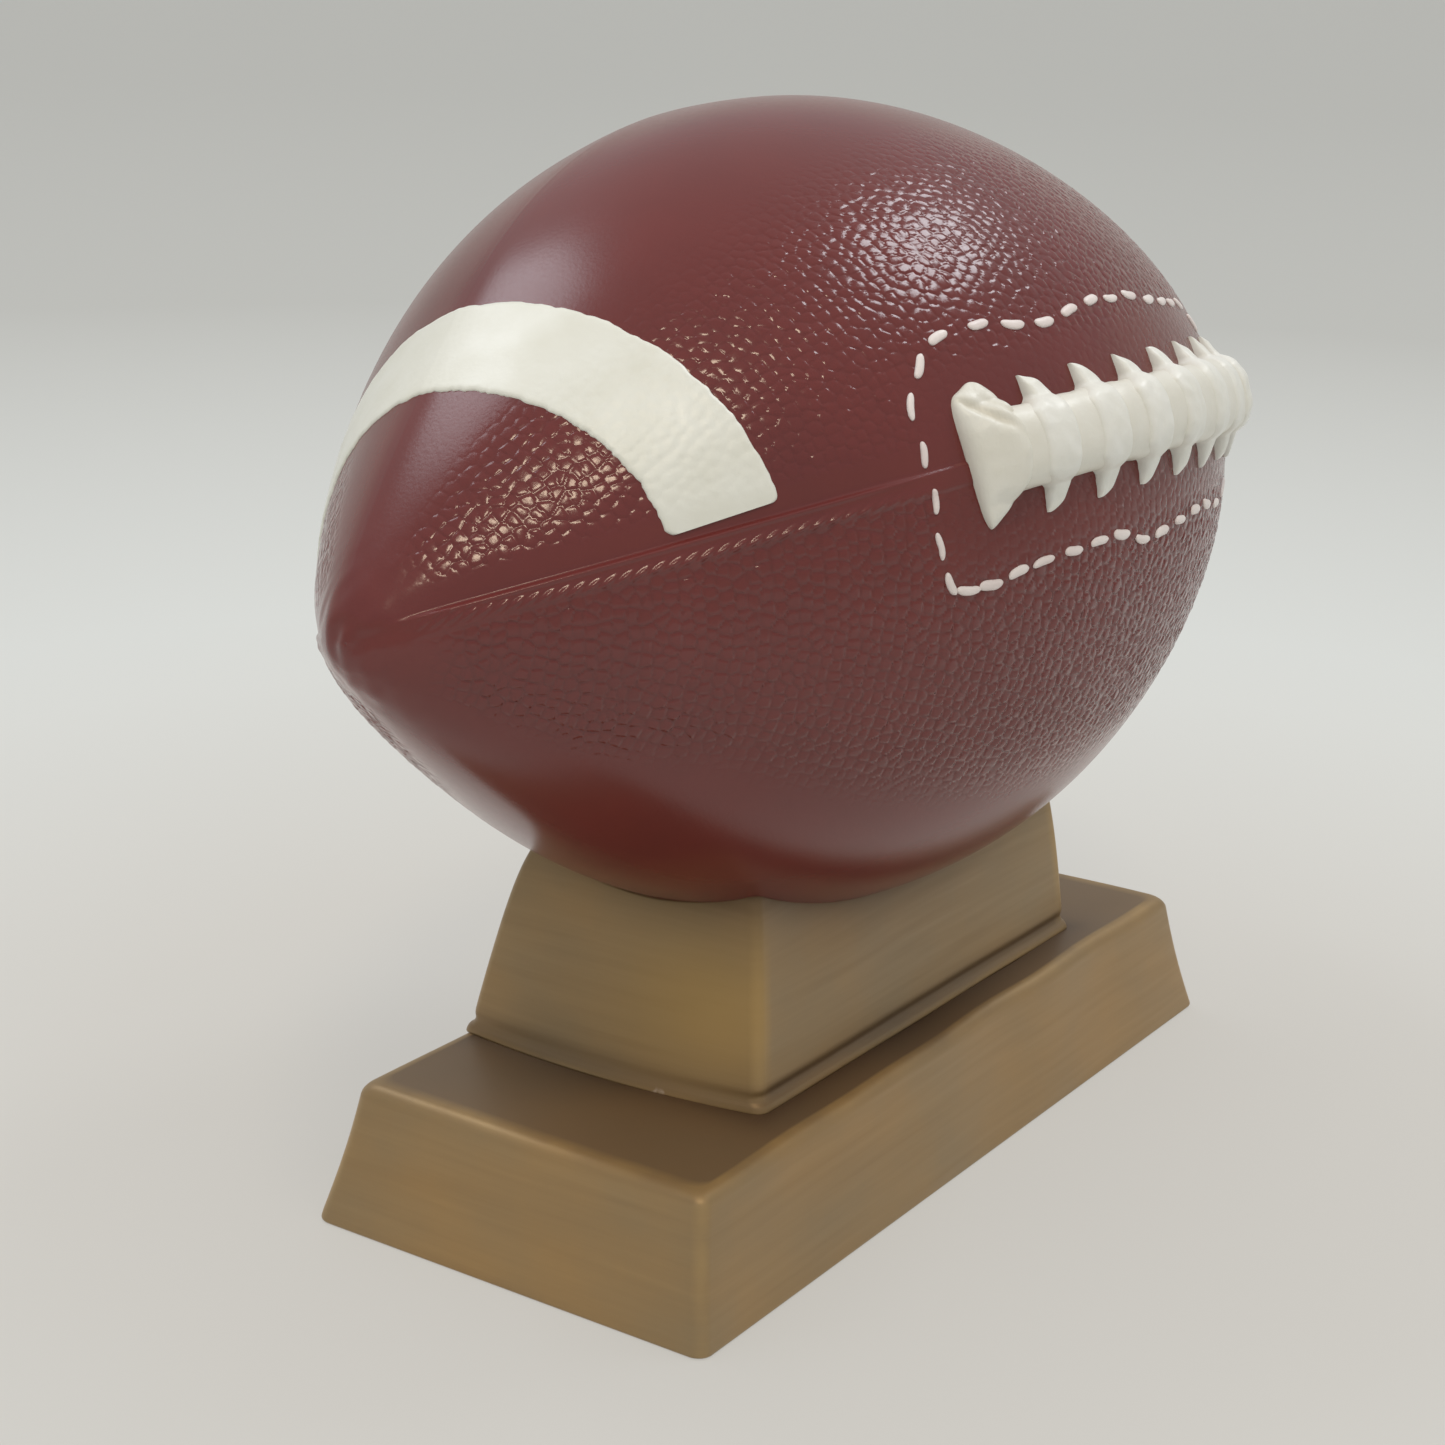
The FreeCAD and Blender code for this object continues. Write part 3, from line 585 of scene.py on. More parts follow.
def pebbles(arc, turn):
    """Flat-topped pebbles round an uneven lattice of points: rows a pebble apart along the ball,
    each divided evenly round it and staggered by half a pebble, with every point moved a little
    from its place. The height climbs from the border with the next pebble to a slight dome over
    the nearest point, which leans its own way."""
    radius = skin_radius(arc)
    row = np.floor(arc / pebble_pitch)
    first = np.full(np.broadcast(arc, turn).shape, 9.0)
    second, lean = first.copy(), 0 * first
    for row_step in (-1, 0, 1):
        ring_row = row + row_step
        ring_radius = skin_radius(np.clip((ring_row + 0.5) * pebble_pitch, -half_run, half_run))
        count = np.maximum(np.round(2 * np.pi * ring_radius / pebble_pitch), 3)
        shift = 0.5 * np.mod(ring_row, 2)
        cell = np.floor(turn / (2 * np.pi) * count - shift)
        for cell_step in (-1, 0, 1):
            number = np.mod(cell + cell_step, count)
            stray_ahead = pebble_stray * (scatter(ring_row, number, 0.3) - 0.5)
            stray_aside = pebble_stray * (scatter(ring_row, number, 4.1) - 0.5)
            along = (ring_row + 0.5 + stray_ahead) * pebble_pitch
            share = (cell + cell_step + 0.5 + shift + stray_aside) / count
            ahead = (arc - along) / pebble_pitch
            aside = (turn - 2 * np.pi * share) * radius / pebble_pitch
            away = np.hypot(ahead, aside)
            lean_ahead = ahead * (scatter(ring_row, number, 7.7) - 0.5)
            lean_aside = aside * (scatter(ring_row, number, 2.9) - 0.5)
            lean = np.where(away < first, lean_ahead + lean_aside, lean)
            second = np.minimum(second, np.maximum(first, away))
            first = np.minimum(first, away)
    climb = 1 - (1 - np.clip((second - first) / pebble_border, 0, 1)) ** 2
    dome = pebble_dome * np.minimum(first, 0.8) ** 2
    return climb * (pebble_body + pebble_tilt * lean) - dome - pebble_level


def from_seam(arc, turn, seam):
    """Signed distance round the ball from a seam, upwards from the front."""
    return (np.mod(turn - seam + np.pi, 2 * np.pi) - np.pi) * skin_radius(arc)


def seam_form(arc, away):
    """A glued seam: the panel above it falls to a shoulder, then comes a flat band, and towards the
    noses a thin line over a twisted cord, which meet at the nose."""
    radius = skin_radius(arc)
    corded = soft_step(np.abs(arc), *corded_arc)
    band = soft_step(away, *band_low) * (1 - soft_step(away, *band_high))
    strands = np.sin(-(strand_across * away + strand_along * np.abs(arc)) * 2 * np.pi / strand_pitch)
    cord_line = cord_place * soft_step(radius, *cord_meeting)
    cord = ridge(away, cord_line, cord_width) * (1 + strand_share * strands)
    lines = line_rise * ridge(away, *line_bell) + cord_rise * cord
    shoulder = soft_step(away, *shoulder_near) * (1 - soft_step(away, *shoulder_far))
    drop = shoulder_drop + corded_shoulder_drop * corded
    return band_rise * band + corded * lines - drop * shoulder


def ball_form(arc, turn):
    """Height of the smooth skin over the plain ball: squared panels, the front and back seams, a
    soft crest above and below, and noses that are crinkled and notched at the tip."""
    radius = skin_radius(arc)
    body = soft_step(radius, *nose_fade)
    height = panel_squareness * radius * np.cos(4 * turn)
    front = from_seam(arc, turn, front_seam)
    height = height + body * seam_form(arc, front)
    height = height + body * back_seam_share * seam_form(arc, -from_seam(arc, turn, back_seam))
    top_crest, low_crest = from_seam(arc, turn, top_seam), from_seam(arc, turn, low_seam)
    top_line = top_line_rise * ridge(top_crest, 0, top_line_width)
    height = height + body * (top_crest_rise * ridge(top_crest, 0, top_crest_width) + top_line)
    height = height + body * low_crest_rise * ridge(low_crest, 0, low_crest_width)
    tip = np.exp(-((radius / crinkle_reach) ** 2))
    crinkles = waves(on_ball(arc, turn, 0), crinkle_length, 21)
    notch = ridge(front, 0, notch_width) * ridge(radius, *notch_bell)
    return height + crinkle_rise * crinkles * tip - notch_depth * notch


def pebble_share(arc, turn):
    """How strongly the skin is pebbled: in a wide field on both sides of the front and back seams,
    less round the lacing, and not at all along the seams, on the noses or towards the crests."""
    front = from_seam(arc, turn, front_seam)
    back = -from_seam(arc, turn, back_seam)
    share = soft_step(np.abs(front - clear_middle), *seam_clear)
    share = np.minimum(share, soft_step(np.abs(back - clear_middle), *seam_clear))
    climb = np.abs(np.arcsin(np.sin(turn))) - nose_climb * soft_step(np.abs(arc), *nose_climb_arc)
    share = share * (1 - soft_step(climb, smooth_from, smooth_to))
    upper = np.where(np.sin(turn) > 0, 1.0, lower_pebble_share)
    laced = soft_step(np.abs(arc), *laced_arc) * soft_step(np.abs(front), *laced_across)
    kept = 1 - (1 - laced_pebble_share) * laced
    return share * upper * soft_step(skin_radius(arc), *pebbled_radius) * kept


def panel_stations():
    """Shares of the way from one seam to the next, closer together beside both."""
    close = np.linspace(0, 0.05, 20, endpoint=False)
    return np.concatenate([close, np.linspace(0.05, 0.95, 216), 1 - close[::-1]])


def ball_skin(arc, turn):
    """The ball's outside with its seams and pebbles."""
    bumps = pebble_height * pebble_share(arc, turn) * pebbles(arc, turn)
    return on_ball(arc, turn, ball_form(arc, turn) + bumps)


def skin_normals(arc, turn):
    """Normals of the ball's outside, across two short lines over the skin at each point. They are
    the same from both sides of a border, so that the pieces meet smoothly."""
    round_step = normal_step / np.maximum(skin_radius(arc), 0.001)
    along = ball_skin(arc + normal_step, turn) - ball_skin(arc - normal_step, turn)
    across = ball_skin(arc, turn + round_step) - ball_skin(arc, turn - round_step)
    normal = np.cross(along, across)
    return normal / np.maximum(np.linalg.norm(normal, axis=-1, keepdims=True), 1e-12)


def ball_panel(name, start, side):
    """Half a panel, from the waist to one nose and from seam to seam: a pebbled outside and a plain
    inside."""
    arc = side * np.linspace(0, half_run, panel_rows)[:, None]
    turn = (start + panel_stations() * math.pi / 2)[None]
    facing = skin_normals(arc, turn)
    facing[-1] = 0
    grain = pebble_share(arc, turn)
    # Painted shade between the pebbles, deepest in their valleys.
    painted_shade = grain * np.clip(-pebbles(arc, turn), 0, 1)
    inside_turn = (start + np.linspace(1, 0, 8) * math.pi / 2)[None]
    lining = on_ball(arc, inside_turn, -shell_wall)
    plain = 0 * lining[..., 0]
    grid = np.concatenate([ball_skin(arc, turn), lining], axis=1)
    facing = np.concatenate([facing, 0 * lining], axis=1)
    front = from_seam(arc, turn, front_seam)
    gloss = np.maximum(grain, ridge(front, *seam_gloss_bell))
    masks = {"gloss": gloss, "painted_shade": painted_shade}
    masks = {mask: np.concatenate([value, plain], axis=1) for mask, value in masks.items()}
    return put_mesh(name, grid, capped=True, masks=masks, facing=facing)


def ball_paint():
    """Satin maroon paint, a little uneven, glossier on pebbles and the seam, with painted shade between
    pebbles.
    """
    material, tree, shader = new_material("ball_paint", IOR=1.45)
    bright = (0.150, 0.027, 0.023, 1)
    dull = (0.126, 0.024, 0.021, 1)
    pebble_valley_shade = (0.080, 0.018, 0.017, 1)
    clouds, _ = mottled(tree, bright, dull, (45, 45, 45))
    _, fine = mottled(tree, bright, dull, (1500, 1500, 1500))
    colour = mixed(tree, spread(tree, mask_of(tree, "painted_shade"), 0.0, 0.5, 0.0, 0.20), clouds, pebble_valley_shade)
    satin = spread(tree, mask_of(tree, "gloss"), 0, 1, 0.08, 0.0)
    rough = maths(tree, "ADD", spread(tree, fine, 0, 1, 0.13, 0.19), satin)
    drive(tree, shader, Base_Color=colour, Roughness=rough, Normal=bumped(tree, fine, 0.00001))
    return material


maroon = ball_paint()
for panel, start, shell in (
    ("upper_front_panel", front_seam, "ball_upper_shell"),
    ("upper_back_panel", top_seam, "ball_upper_shell"),
    ("lower_back_panel", back_seam, "ball_lower_shell"),
    ("lower_front_panel", low_seam, "ball_lower_shell"),
):
    for end, side in (("left", -1), ("right", 1)):
        finish_piece(ball_panel(f"{panel}_{end}", start, side), maroon, "ball_paint", shell)


# Stripes
# Two bands of thick off-white paint over the upper half, one towards each nose. They stop short
# of the seams, their edges wander a little, and the pebbles show through them.

stripe_middle = 0.0882
stripe_swing = 0.0040
stripe_half = 0.0098
stripe_swell = 0.0005
stripe_rise = 0.00042
stripe_foot = -0.0003
stripe_gap = 0.0034
stripe_corner = 0.0014
stripe_edge = 0.0003
wander_size = 0.00020
wander_length = 0.007
fray_length = 0.002
pebble_showing = 0.9


def stripe_grid(side, seed):
    """A band across the ball: rows round the ball, and columns across the top, over both edges and
    back below. It swings towards the nose and swells at the crest. Its width shrinks by a quarter
    round at the ends and wanders along the edges."""
    end_arc = np.interp(side * stripe_middle, outline_x, outline_arc)
    radius = skin_radius(end_arc)
    reach = math.pi * radius - 2 * stripe_gap
    ends = stripe_corner * quarter(10)[1]
    straight = np.linspace(stripe_corner, reach - stripe_corner, 300)[1:-1]
    run = np.concatenate([ends, straight, reach - ends[::-1]])
    turn = ((run + stripe_gap) / radius)[:, None]
    from_end = np.clip(np.minimum(run, reach - run) / stripe_corner, 0, 1)
    up = np.sin(turn[:, 0]) ** 2
    half = stripe_half + stripe_swell * up - stripe_corner * (1 - np.sqrt(1 - (1 - from_end) ** 2))
    middle_arc = np.interp(side * (stripe_middle + stripe_swing * up), outline_x, outline_arc)[:, None]
    across = np.concatenate([np.linspace(-1, 1, 34), [1, 1, 0, -1, -1]])
    lift = np.concatenate([[0.85], np.ones(32), [0.85, 0.5, 0, 0, 0, 0.5]])
    out = np.concatenate([np.zeros(34), [0.7, 1, 0, -1, -0.7]])
    path = np.stack([run, 0 * run], -1)
    edges = []
    for own_seed in (seed, seed + 1):
        ragged = waves(path, wander_length, own_seed) + 0.5 * waves(path, fray_length, own_seed + 4)
        edges.append(wander_size * ragged[:, None])
    wander = np.where(across > 0, *edges) * across
    arc = middle_arc + across * half[:, None] + wander + out * stripe_edge
    showing = pebble_showing * pebble_height * pebble_share(arc, turn) * pebbles(arc, turn)
    foot = ball_form(arc, turn) + stripe_foot
    rows = on_ball(arc, turn, foot + (stripe_rise - stripe_foot + showing) * lift)
    closing = [rows[[k]].mean(axis=1, keepdims=True) + 0 * rows[[k]] for k in (0, -1)]
    return np.concatenate([closing[0], rows, closing[1]])


def white_paint(name, bright, shaded, painted_shade, tooth):
    """Thick white paint with a soft gloss and brush marks, and a yellowish painted shade as far as the
    piece's own mask says.
    """
    material, tree, shader = new_material(name, IOR=1.44)
    clouds, cloud_mask = mottled(tree, bright, shaded, (120, 120, 120))
    _, fine = mottled(tree, bright, shaded, (900, 900, 900))
    colour = tinted(tree, clouds, painted_shade, "painted_shade", 0.75)
    drive(tree, shader, Base_Color=colour, Roughness=spread(tree, cloud_mask, 0, 1, 0.42, 0.32),
          Normal=bumped(tree, fine, tooth))
    return material


stripe_white = white_paint("stripe_paint", (0.76, 0.755, 0.68, 1), (0.70, 0.69, 0.60, 1),
                           (0.60, 0.56, 0.44, 1), 0.00002)
for name, side, seed, node in (
    ("stripe_left_band", -1, 11, "stripe_left"),
    ("stripe_right_band", 1, 31, "stripe_right"),
):
    finish_piece(put_mesh(name, stripe_grid(side, seed)), stripe_white, "stripe_paint", node)


# Lacing
# A round bar of resin along the front seam, and eight straps moulded over it as soft rings whose
# ends lie on the ball like fins. The first, at the near end, is a large leaf. All painted ivory.

bar_half_width = 0.0070
bar_rise = 0.0058
bar_sink = 0.0012
bar_end_round = 0.005
bar_ends = np.array([0.001, 0.0042])
bar_lump_share = 0.03
bar_lump_length = 0.010
bar_groove_shade = 0.3
strap_count = 8
strap_pitch = 0.014
strap_shift = 0.0025
strap_half = 0.0045
strap_reach = 0.0119
strap_rise = 0.0005
strap_sink = 0.0008
strap_overlap = 0.0012
strap_foot = 0.0003
strap_lump_rise = 0.00010
strap_lump_length = 0.004
strap_stray = 0.02
strap_stray_length = 0.008
strap_edge_shade = 0.3
fin_start = 0.0052
fin_left = -0.0010
fin_lean = 0.055
fin_flank = (0.0045, 0.0080)
fin_drift = 0.0003
high_fin_tip = 0.0003
low_fin_tip = 0.0012
fin_rise = 0.0036
tip_rise = 0.0008
leaf_middle = 0.0023
leaf_reach = np.array([0.0123, 0.0124])
leaf_half = 0.0056
leaf_back_lean = 0.0030
leaf_cover_half = 0.0086
leaf_edge_rise = 0.0010
leaf_body_rise = 0.0020
leaf_near_share = 0.40
leaf_slope = (-0.0065, 0.0045)
leaf_shade = np.array([0.30, 0.45])
trough_depth = 0.0012
trough_slant = 0.9
trough_middle = 0.0065
narrow_trough_share = 0.7
lacing_tilt = -0.033
lacing_level = 0.005
strap_arcs = strap_shift + (np.arange(strap_count) - (strap_count - 1) / 2) * strap_pitch

# Each of these pairs is the place and the width of a bell curve.
wide_trough = (-0.0006, 0.0013)
wide_trough_across = (0.0068, 0.0040)
narrow_trough = (0.0030, 0.0009)
narrow_trough_across = (0.0055, 0.0030)


def beside_seam(arc, across, height):
    """A point over the ball at a distance across the front seam, with the lacing's slight tilt."""
    radius = skin_radius(arc)
    turn = (across + lacing_tilt * (arc - lacing_level)) / radius
    return on_ball(arc, turn, panel_squareness * radius + height)


def bar_profile(across, rise, half_width):
    """Height of a flattened round across the seam."""
    return rise * np.clip(1 - np.abs(across / half_width) ** 2.4, 0, 1) ** 0.45


def lumps(arc, across, length, seed):
    """Unevenness over the lacing's flat pattern."""
    return waves(np.stack(np.broadcast_arrays(arc, across), -1), length, seed)


def eased(count):
    """Stations from -1 to 1 at the sines of even angles, closer together towards both ends."""
    return np.sin(np.linspace(-np.pi / 2, np.pi / 2, count))


def bar_grid():
    """The bar: flattened rounds along the seam that close at the ends, a little uneven."""
    start, stop = strap_arcs[[0, -1]] + bar_ends
    arc = (start + stop) / 2 + (stop - start) / 2 * eased(200)[:, None]
    swing = np.linspace(0, 2 * np.pi, 44, endpoint=False)[None]
    into_end = np.clip(1 - np.minimum(arc - start, stop - arc) / bar_end_round, 0, 1)
    end = np.sqrt(1 - into_end**2)
    across = np.cos(swing)
    size = 1 + bar_lump_share * lumps(arc, 0.004 * across, bar_lump_length, 41)
    top = bar_profile(across, bar_rise, 1.0) * np.sign(np.clip(np.sin(swing), 0, 1))
    under = bar_sink * np.clip(-np.sin(swing), 0, 1)
    grid = beside_seam(arc, bar_half_width * across * size * end, (top * size - under) * end)
    # Painted shade, even over the bar, which shows only in the grooves between the straps.
    return grid, np.full(grid.shape[:2], bar_groove_shade)


def strap_outline(number, across):
    """Where a strap lies along the ball, its half width, and the share of the way along its fin.
    A strap keeps its width over the bar. Beyond it the near edge runs straight and the far one
    curves in to meet it. The first strap is a leaf with a broad upper lobe and a pointed lower one
    that leans back."""
    if number == 0:
        share = np.where(across > 0, across / leaf_reach[1], -across / leaf_reach[0])
        upper = leaf_half * np.sqrt(np.clip(1 - share**4, 0, 1))
        lower = leaf_half * np.clip(1 - share**2, 0, 1) ** 0.8
        lean = np.where(across > 0, 0, leaf_back_lean * share**2)
        return strap_arcs[0] + leaf_middle - lean, np.where(across > 0, upper, lower), share
    share = np.clip((np.abs(across) - fin_start) / (strap_reach - fin_start), 0, 1)
    flank = soft_step(np.abs(across), *fin_flank)
    left = -strap_half * (1 - flank) + fin_left * flank + fin_drift * share
    tip = fin_left + np.where(across > 0, high_fin_tip, low_fin_tip)
    right = strap_half + (tip - strap_half) * share**4
    middle = strap_arcs[number] + fin_lean * across + (left + right) / 2
    return middle, (right - left) / 2, share


def leaf_troughs(arc, across):
    """Two troughs that run slantwise over the leaf's upper lobe, with a ridge between them."""
    slant = arc - strap_arcs[0] - leaf_middle + trough_slant * (across - trough_middle)
    wide = ridge(slant, *wide_trough) * ridge(across, *wide_trough_across)
    return wide + narrow_trough_share * ridge(slant, *narrow_trough) * ridge(across, *narrow_trough_across)


def strap_top(number, arc, across, share):
    """Height of a strap's upper side: the larger of a cover over the bar and a fin that falls to
    its tip. The first one slopes down to the near end and has troughs in its upper lobe."""
    close = np.sqrt(np.clip(1 - share**8, 0, 1))
    if number == 0:
        along = arc - strap_arcs[0] - leaf_middle
        slope = leaf_near_share + (1 - leaf_near_share) * soft_step(along, *leaf_slope)
        cover = slope * bar_profile(across, bar_rise + strap_rise, leaf_cover_half)
        fin = leaf_edge_rise + leaf_body_rise * (1 - share**2)
        return ((cover**4 + fin**4) ** 0.25 - trough_depth * leaf_troughs(arc, across)) * close
    cover = bar_profile(across, bar_rise + strap_rise, bar_half_width + strap_rise)
    fin = tip_rise + (fin_rise - tip_rise) * (1 - share) ** 1.2
    return (cover**4 + fin**4) ** 0.25 * close


def strap_grid(number):
    """One strap: rows from fin tip to fin tip, and columns over its upper side and back below."""
    low_reach, high_reach = leaf_reach if number == 0 else (strap_reach, strap_reach)
    sweep = eased(110)[:, None]
    across = np.where(sweep > 0, high_reach, low_reach) * sweep
    over = eased(28)
    spots = np.concatenate([over, 0.8 * over[::-4]])[None]
    above = np.concatenate([np.ones(28), np.zeros(7)])[None]
    middle, half, share = strap_outline(number, across)
    arc = middle + half * spots
    bar_under = bar_profile(across, bar_rise, bar_half_width) - strap_overlap
    low = np.maximum(bar_under * (number > 0), 0) - strap_sink
    crown = np.clip(1 - np.abs(spots) ** 5, 0, 1) ** 0.45 * above
    uneven = strap_lump_rise * lumps(arc, across, strap_lump_length, 70 + number)
    top = strap_top(number, arc, across, share) + uneven
    height = low + (top - low) * crown - strap_foot * (1 - above)
    stray = 1 + strap_stray * lumps(arc, across, strap_stray_length, 50 + number)
    over_bar = np.abs(across) < bar_half_width
    # Painted shade towards a strap's edges over the bar, and over the whole leaf, deeper in its troughs.
    painted_shade = strap_edge_shade * soft_step(np.abs(spots), 0.75, 1.0) * over_bar
    if number == 0:
        painted_shade = np.clip(leaf_shade[0] + leaf_shade[1] * leaf_troughs(arc, across), 0, 1)
    return beside_seam(arc, across * stray, height), painted_shade


lace_white = white_paint("lace_paint", (0.790, 0.780, 0.725, 1), (0.72, 0.705, 0.63, 1),
                         (0.56, 0.50, 0.36, 1), 0.00004)
bar, bar_painted_shade = bar_grid()
lace_bar = put_mesh("lace_bar", bar, masks={"painted_shade": bar_painted_shade})
finish_piece(lace_bar, lace_white, "lace_paint", "lace_strip")
for number in range(strap_count):
    strap, strap_painted_shade = strap_grid(number)
    piece = put_mesh(f"lace_strap_{number + 1}", strap, masks={"painted_shade": strap_painted_shade})
    finish_piece(piece, lace_white, "lace_paint", f"cross_lace_{number + 1}")


# Stitches
# Thirty-six short dashes of pinkish white paint in a wavering line round the lacing, each a
# raised dab with round ends.

stitch_length = np.array([0.0046, 0.0052])
stitch_width = np.array([0.0013, 0.0018])
stitch_rise = 0.00050
stitch_sink = 0.0003
stitch_wobble = 0.00016
stitch_wobble_length = 0.0011
stitch_turn = 0.10
stitch_sizes = (0.88, 1.10)
stitch_places = 0.001 * np.array([
    (-49.9, 19.2), (-43.5, 23.3), (-34.1, 23.7), (-26.6, 22.1), (-18.7, 21.0), (-10.2, 21.9),
    (-1.6, 22.7), (5.7, 22.1), (14.1, 21.8), (22.6, 20.0), (30.1, 19.0), (36.8, 18.3),
    (44.4, 17.6), (51.4, 13.2), (54.6, 5.6), (54.8, -2.6), (53.4, -10.6), (46.0, -19.0),
    (36.9, -21.1), (27.6, -20.0), (19.5, -20.0), (11.0, -20.6), (2.6, -21.3), (-5.2, -21.2),
    (-12.7, -18.9), (-19.7, -18.7), (-27.0, -18.8), (-34.7, -18.9), (-40.6, -19.3), (-46.6, -20.0),
    (-51.2, -19.7), (-54.7, -17.7), (-56.5, -10.8), (-56.3, -3.3), (-56.0, 4.6), (-54.9, 12.9),
])


def stitch_grid():
    """All the dashes at once: rounded dabs, rows along each and columns round it. Each dab points
    from the one before it to the one after it."""
    rng = np.random.default_rng(5)
    count = len(stitch_places)
    arc, across = np.interp(stitch_places[:, 0], outline_x, outline_arc), stitch_places[:, 1]
    ahead = np.roll(stitch_places, -1, axis=0) - np.roll(stitch_places, 1, axis=0)
    heading = np.arctan2(ahead[:, 1], ahead[:, 0]) + rng.uniform(-stitch_turn, stitch_turn, count)
    on_side = np.abs(np.cos(heading))
    long_half = np.interp(on_side, [0, 1], stitch_length) / 2 * rng.uniform(*stitch_sizes, count)
    wide_half = np.interp(on_side, [0, 1], stitch_width) / 2 * rng.uniform(*stitch_sizes, count)
    each = arc, across, heading, long_half, wide_half
    arc, across, heading, long_half, wide_half = (value[:, None, None] for value in each)
    along = eased(13)[None, :, None]
    swing = np.linspace(0, 2 * np.pi, 12, endpoint=False)[None, None]
    fat = (1 - np.abs(along) ** 3.5) ** 0.5
    forward = along * long_half + 0 * swing
    wobble = stitch_wobble * np.sin(forward / stitch_wobble_length + heading * 7)
    sideways = np.cos(swing) * fat * wide_half + wobble
    up = np.where(np.sin(swing) > 0, stitch_rise * np.sin(swing), stitch_sink * np.sin(swing)) * fat**0.5
    spot_arc = arc + forward * np.cos(heading) - sideways * np.sin(heading)
    spot_across = across + forward * np.sin(heading) + sideways * np.cos(heading)
    turn = spot_across / skin_radius(spot_arc)
    return on_ball(spot_arc, turn, ball_form(spot_arc, turn) + up)


stitch_white = white_paint("stitch_paint", (0.82, 0.76, 0.72, 1), (0.70, 0.60, 0.57, 1),
                           (0.60, 0.50, 0.47, 1), 0.00003)
finish_piece(put_mesh("stitch_dabs", stitch_grid()), stitch_white, "stitch_paint", "panel_stitches")


# Fixings
# Two zinc plated rods with nuts and washers clamp the ball to the stand, threaded into brass
# inserts in resin blocks. Four screws hold a fibreboard plate with a black plastic stopper.


def clouded_finish(name, light, dark, roughness, cycles, tooth, **plain):
    """Metal, resin, board, plastic or felt in clouds of two tones. Its roughness, between two values,
    and its tooth follow the clouds."""
    material, tree, shader = new_material(name, **plain)
    colour, mask = mottled(tree, light, dark, cycles)
    drive(tree, shader, Base_Color=colour, Roughness=spread(tree, mask, 0, 1, *roughness),
          Normal=bumped(tree, mask, tooth))
    return material


zinc = clouded_finish("zinc_steel", (0.62, 0.62, 0.60, 1), (0.45, 0.45, 0.44, 1), (0.28, 0.43),
                      (300, 300, 900), 0.00001, Metallic=1.0)
brass = clouded_finish("insert_brass", (0.70, 0.50, 0.20, 1), (0.52, 0.35, 0.13, 1), (0.25, 0.40),
                       (500, 500, 900), 0.00001, Metallic=1.0)
resin = clouded_finish("raw_resin", (0.60, 0.55, 0.44, 1), (0.46, 0.41, 0.31, 1), (0.55, 0.67),
                       (220, 220, 220), 0.00005, IOR=1.48)
board = clouded_finish("board", (0.34, 0.22, 0.12, 1), (0.21, 0.13, 0.07, 1), (0.65, 0.77),
                       (260, 900, 260), 0.00006, IOR=1.48)
black = clouded_finish("stopper_plastic", (0.012, 0.012, 0.013, 1), (0.006, 0.006, 0.007, 1),
                       (0.30, 0.42), (700, 700, 700), 0.00002, IOR=1.48)
rubber = clouded_finish("seal_rubber", (0.020, 0.020, 0.020, 1), (0.010, 0.010, 0.010, 1),
                        (0.60, 0.72), (900, 900, 900), 0.00003, IOR=1.48)
for material, nodes in (
    (zinc, ("tie_rods", "rod_washers", "rod_nuts", "plate_screws")),
    (brass, ("rod_inserts",)),
    (resin, ("rod_blocks",)),
    (board, ("bottom_plate",)),
    (black, ("stopper", "stopper_collar")),
    (rubber, ("stopper_gasket",)),
):
    for node in nodes:
        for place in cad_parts[node].material_slots:
            place.material = material


# Felt pad
# A sheet of black wool felt cut with rounded corners and a round hole for the stopper, and glued
# flat under the bottom plate.

pad_low, pad_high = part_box("base_pad")
pad_middle = np.array([(pad_low.x + pad_high.x) / 2, (pad_low.y + pad_high.y) / 2])
pad_half = np.array([pad_high.x - pad_low.x, pad_high.y - pad_low.y]) / 2
pad_thickness = pad_high.z - pad_low.z
pad_corner = 0.0015
pad_hole = 0.027
pad_edge = 0.0003
felt_unevenness = 0.00012
felt_wave_length = 0.012


def pad_grid():
    """Rows from the hole out to the rounded rectangle below, over its edge and back on top. A row
    is the share of the way from a circle to the outline, and the lower face is a little uneven."""
    rim = stacked_rings(ring, pad_half[None, None], np.full((1, 1), pad_corner), np.zeros((1, 1)))
    rim = rim[0, :, :2]
    hole = pad_hole * rim / np.linalg.norm(rim, axis=-1, keepdims=True)
    inset = pad_edge / (pad_half[1] - pad_hole)
    share = np.linspace(inset, 1 - inset, 14)
    share = np.concatenate([share, [1, 1], share[::-1], [0, 0]])[:, None, None]
    level = np.concatenate([np.zeros(14), [0.25, 0.75], np.ones(14), [0.75, 0.25]])[:, None]
    flat = hole * (1 - share) + rim * share + pad_middle
    height = pad_low.z + pad_thickness * level + 0 * flat[..., 0]
    height = height + felt_unevenness * np.abs(waves(flat, felt_wave_length, 91)) * (level == 0)
    return np.concatenate([flat, height[..., None]], -1)


felt = clouded_finish("felt", (0.020, 0.020, 0.022, 1), (0.007, 0.007, 0.008, 1), (0.85, 0.97),
                      (1400, 1400, 1400), 0.0002, IOR=1.48)
pad = put_mesh("felt_pad", pad_grid(), closed_rows=True)
finish_piece(pad, felt, "felt", "base_pad")


# Studio
# A pale floor that rises all round, an even pale room, three soft oval lamps (a cool panel, a warm
# lamp and a window behind), and the camera.

floor_radius = 2.2
floor_rise = 1.6
behind_from, behind_to = 0.15, 0.40
far_from, far_to = 0.33, 1.02
own_tone_share = 0.65
own_tone_in_mirrors = 1.45
room_light = 0.92
room_in_mirrors = 0.55
lamp_distance = 2.0
cool_lean = math.radians(49)
window_lean = math.radians(-34)


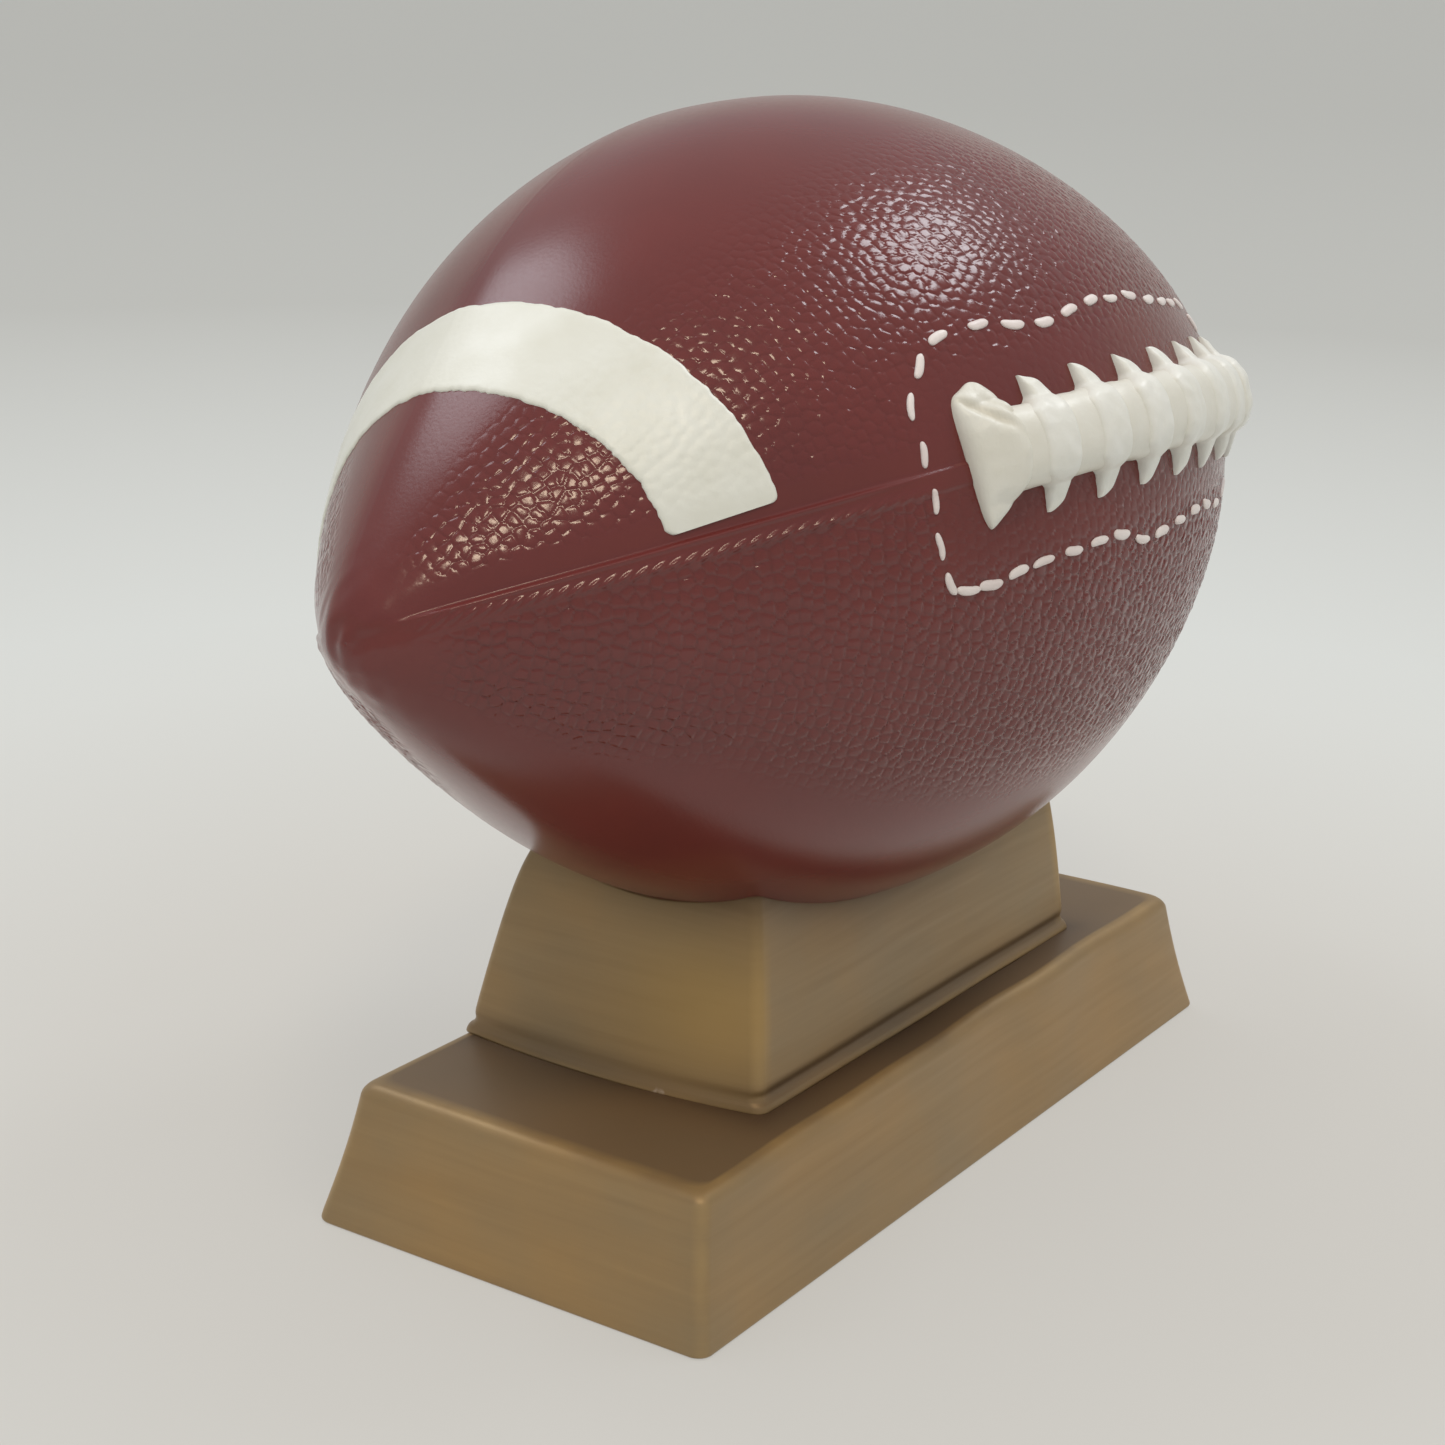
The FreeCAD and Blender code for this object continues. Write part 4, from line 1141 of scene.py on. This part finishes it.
def floor_grid():
    """A round floor whose rim sweeps up, as rings from the middle outwards."""
    flat = np.linspace(0, floor_radius, 24)
    swing = np.linspace(0, np.pi / 2, 16)[1:]
    out = np.concatenate([flat, floor_radius + floor_rise * np.sin(swing)])[:, None]
    up = np.concatenate([0 * flat, floor_rise * (1 - np.cos(swing))])[:, None]
    angle = np.linspace(0, 2 * np.pi, 96, endpoint=False)[None]
    return np.stack(np.broadcast_arrays(out * np.cos(angle), out * np.sin(angle), up), -1)


def floor_paper():
    """Pale paper, warm near the object, palest behind it, and grey far away as painted shade on the
    distant paper. To the eye and in reflections it is mostly its own tone, with a part of the shade
    that falls on it."""
    material, tree, shader = new_material("floor_paper", Roughness=0.9)
    place = add_node(tree, "ShaderNodeTexCoord").outputs["Object"]
    away = add_node(tree, "ShaderNodeVectorMath", {0: place}, operation="LENGTH").outputs["Value"]
    near_light, near_dark = (0.630, 0.612, 0.570, 1), (0.622, 0.604, 0.562, 1)
    behind_tone, far_shade_tone = (0.680, 0.690, 0.660, 1), (0.498, 0.496, 0.466, 1)
    near, _ = mottled(tree, near_light, near_dark, (6, 6, 6))
    behind = mixed(tree, spread(tree, away, behind_from, behind_to), near, behind_tone)
    colour = mixed(tree, spread(tree, away, far_from, far_to), behind, far_shade_tone)
    drive(tree, shader, Base_Color=colour)
    rays = add_node(tree, "ShaderNodeLightPath").outputs
    seen = maths(tree, "MAXIMUM", rays["Is Camera Ray"], rays["Is Glossy Ray"])
    strength = spread(tree, rays["Is Glossy Ray"], 0, 1, 1.0, own_tone_in_mirrors)
    tone = add_node(tree, "ShaderNodeEmission", {"Color": colour, "Strength": strength})
    share = maths(tree, "MULTIPLY", seen, own_tone_share)
    blend = add_node(tree, "ShaderNodeMixShader", {0: share, 1: shader.outputs[0], 2: tone.outputs[0]})
    tree.links.new(blend.outputs[0], tree.nodes["Material Output"].inputs["Surface"])
    return material


floor = put_mesh("floor", floor_grid())
floor.data.materials.append(floor_paper())


def add_lamp(name, direction, size, energy, colour, lean=0.0):
    """A soft oval lamp that faces the ball from a direction, leaning by an angle."""
    lamp = bpy.data.lights.new(name, "AREA")
    lamp.shape = "ELLIPSE"
    lamp.size, lamp.size_y = size
    lamp.energy = energy
    lamp.color = colour
    holder = bpy.data.objects.new(name, lamp)
    way = Vector(direction).normalized()
    holder.location = Vector((0, 0, ball_centre)) + way * lamp_distance
    holder.rotation_mode = "QUATERNION"
    holder.rotation_quaternion = (-way).to_track_quat("-Z", "Y") @ Quaternion((0, 0, 1), lean)
    bpy.context.scene.collection.objects.link(holder)


add_lamp("cool_panel", (0.56, -0.20, 0.80), (0.46, 0.80), 7.3, (0.90, 0.95, 1.0), cool_lean)
add_lamp("warm_lamp", (-0.39, -0.30, 0.87), (0.42, 0.42), 7.8, (1.0, 0.84, 0.62))
add_lamp("back_window", (0.02, 0.565, 0.825), (0.52, 1.25), 6.8, (0.88, 0.93, 1.0), window_lean)

world = bpy.data.worlds.new("studio")
world.use_nodes = True
room = world.node_tree.nodes["Background"].inputs
room["Color"].default_value = (0.95, 0.97, 1.0, 1)
mirrored = add_node(world.node_tree, "ShaderNodeLightPath").outputs["Is Glossy Ray"]
strength = spread(world.node_tree, mirrored, 0, 1, room_light, room_in_mirrors)
world.node_tree.links.new(strength, room["Strength"])
bpy.context.scene.world = world
bpy.context.scene.view_settings.view_transform = "Standard"

camera_place = Vector((-0.49994, -0.30756, 0.25714))
camera_aim = Vector((-0.00718, 0.01110, 0.08019))
camera_lean = math.radians(1.412)
camera_data = bpy.data.cameras.new("camera")
camera_data.sensor_width = 36.0
camera_data.lens = 77.09
camera = bpy.data.objects.new("camera", camera_data)
camera.location = camera_place
camera.rotation_mode = "QUATERNION"
level_view = (camera_aim - camera_place).to_track_quat("-Z", "Y")
camera.rotation_quaternion = level_view @ Quaternion((0, 0, 1), camera_lean)
bpy.context.scene.collection.objects.link(camera)
bpy.context.scene.camera = camera
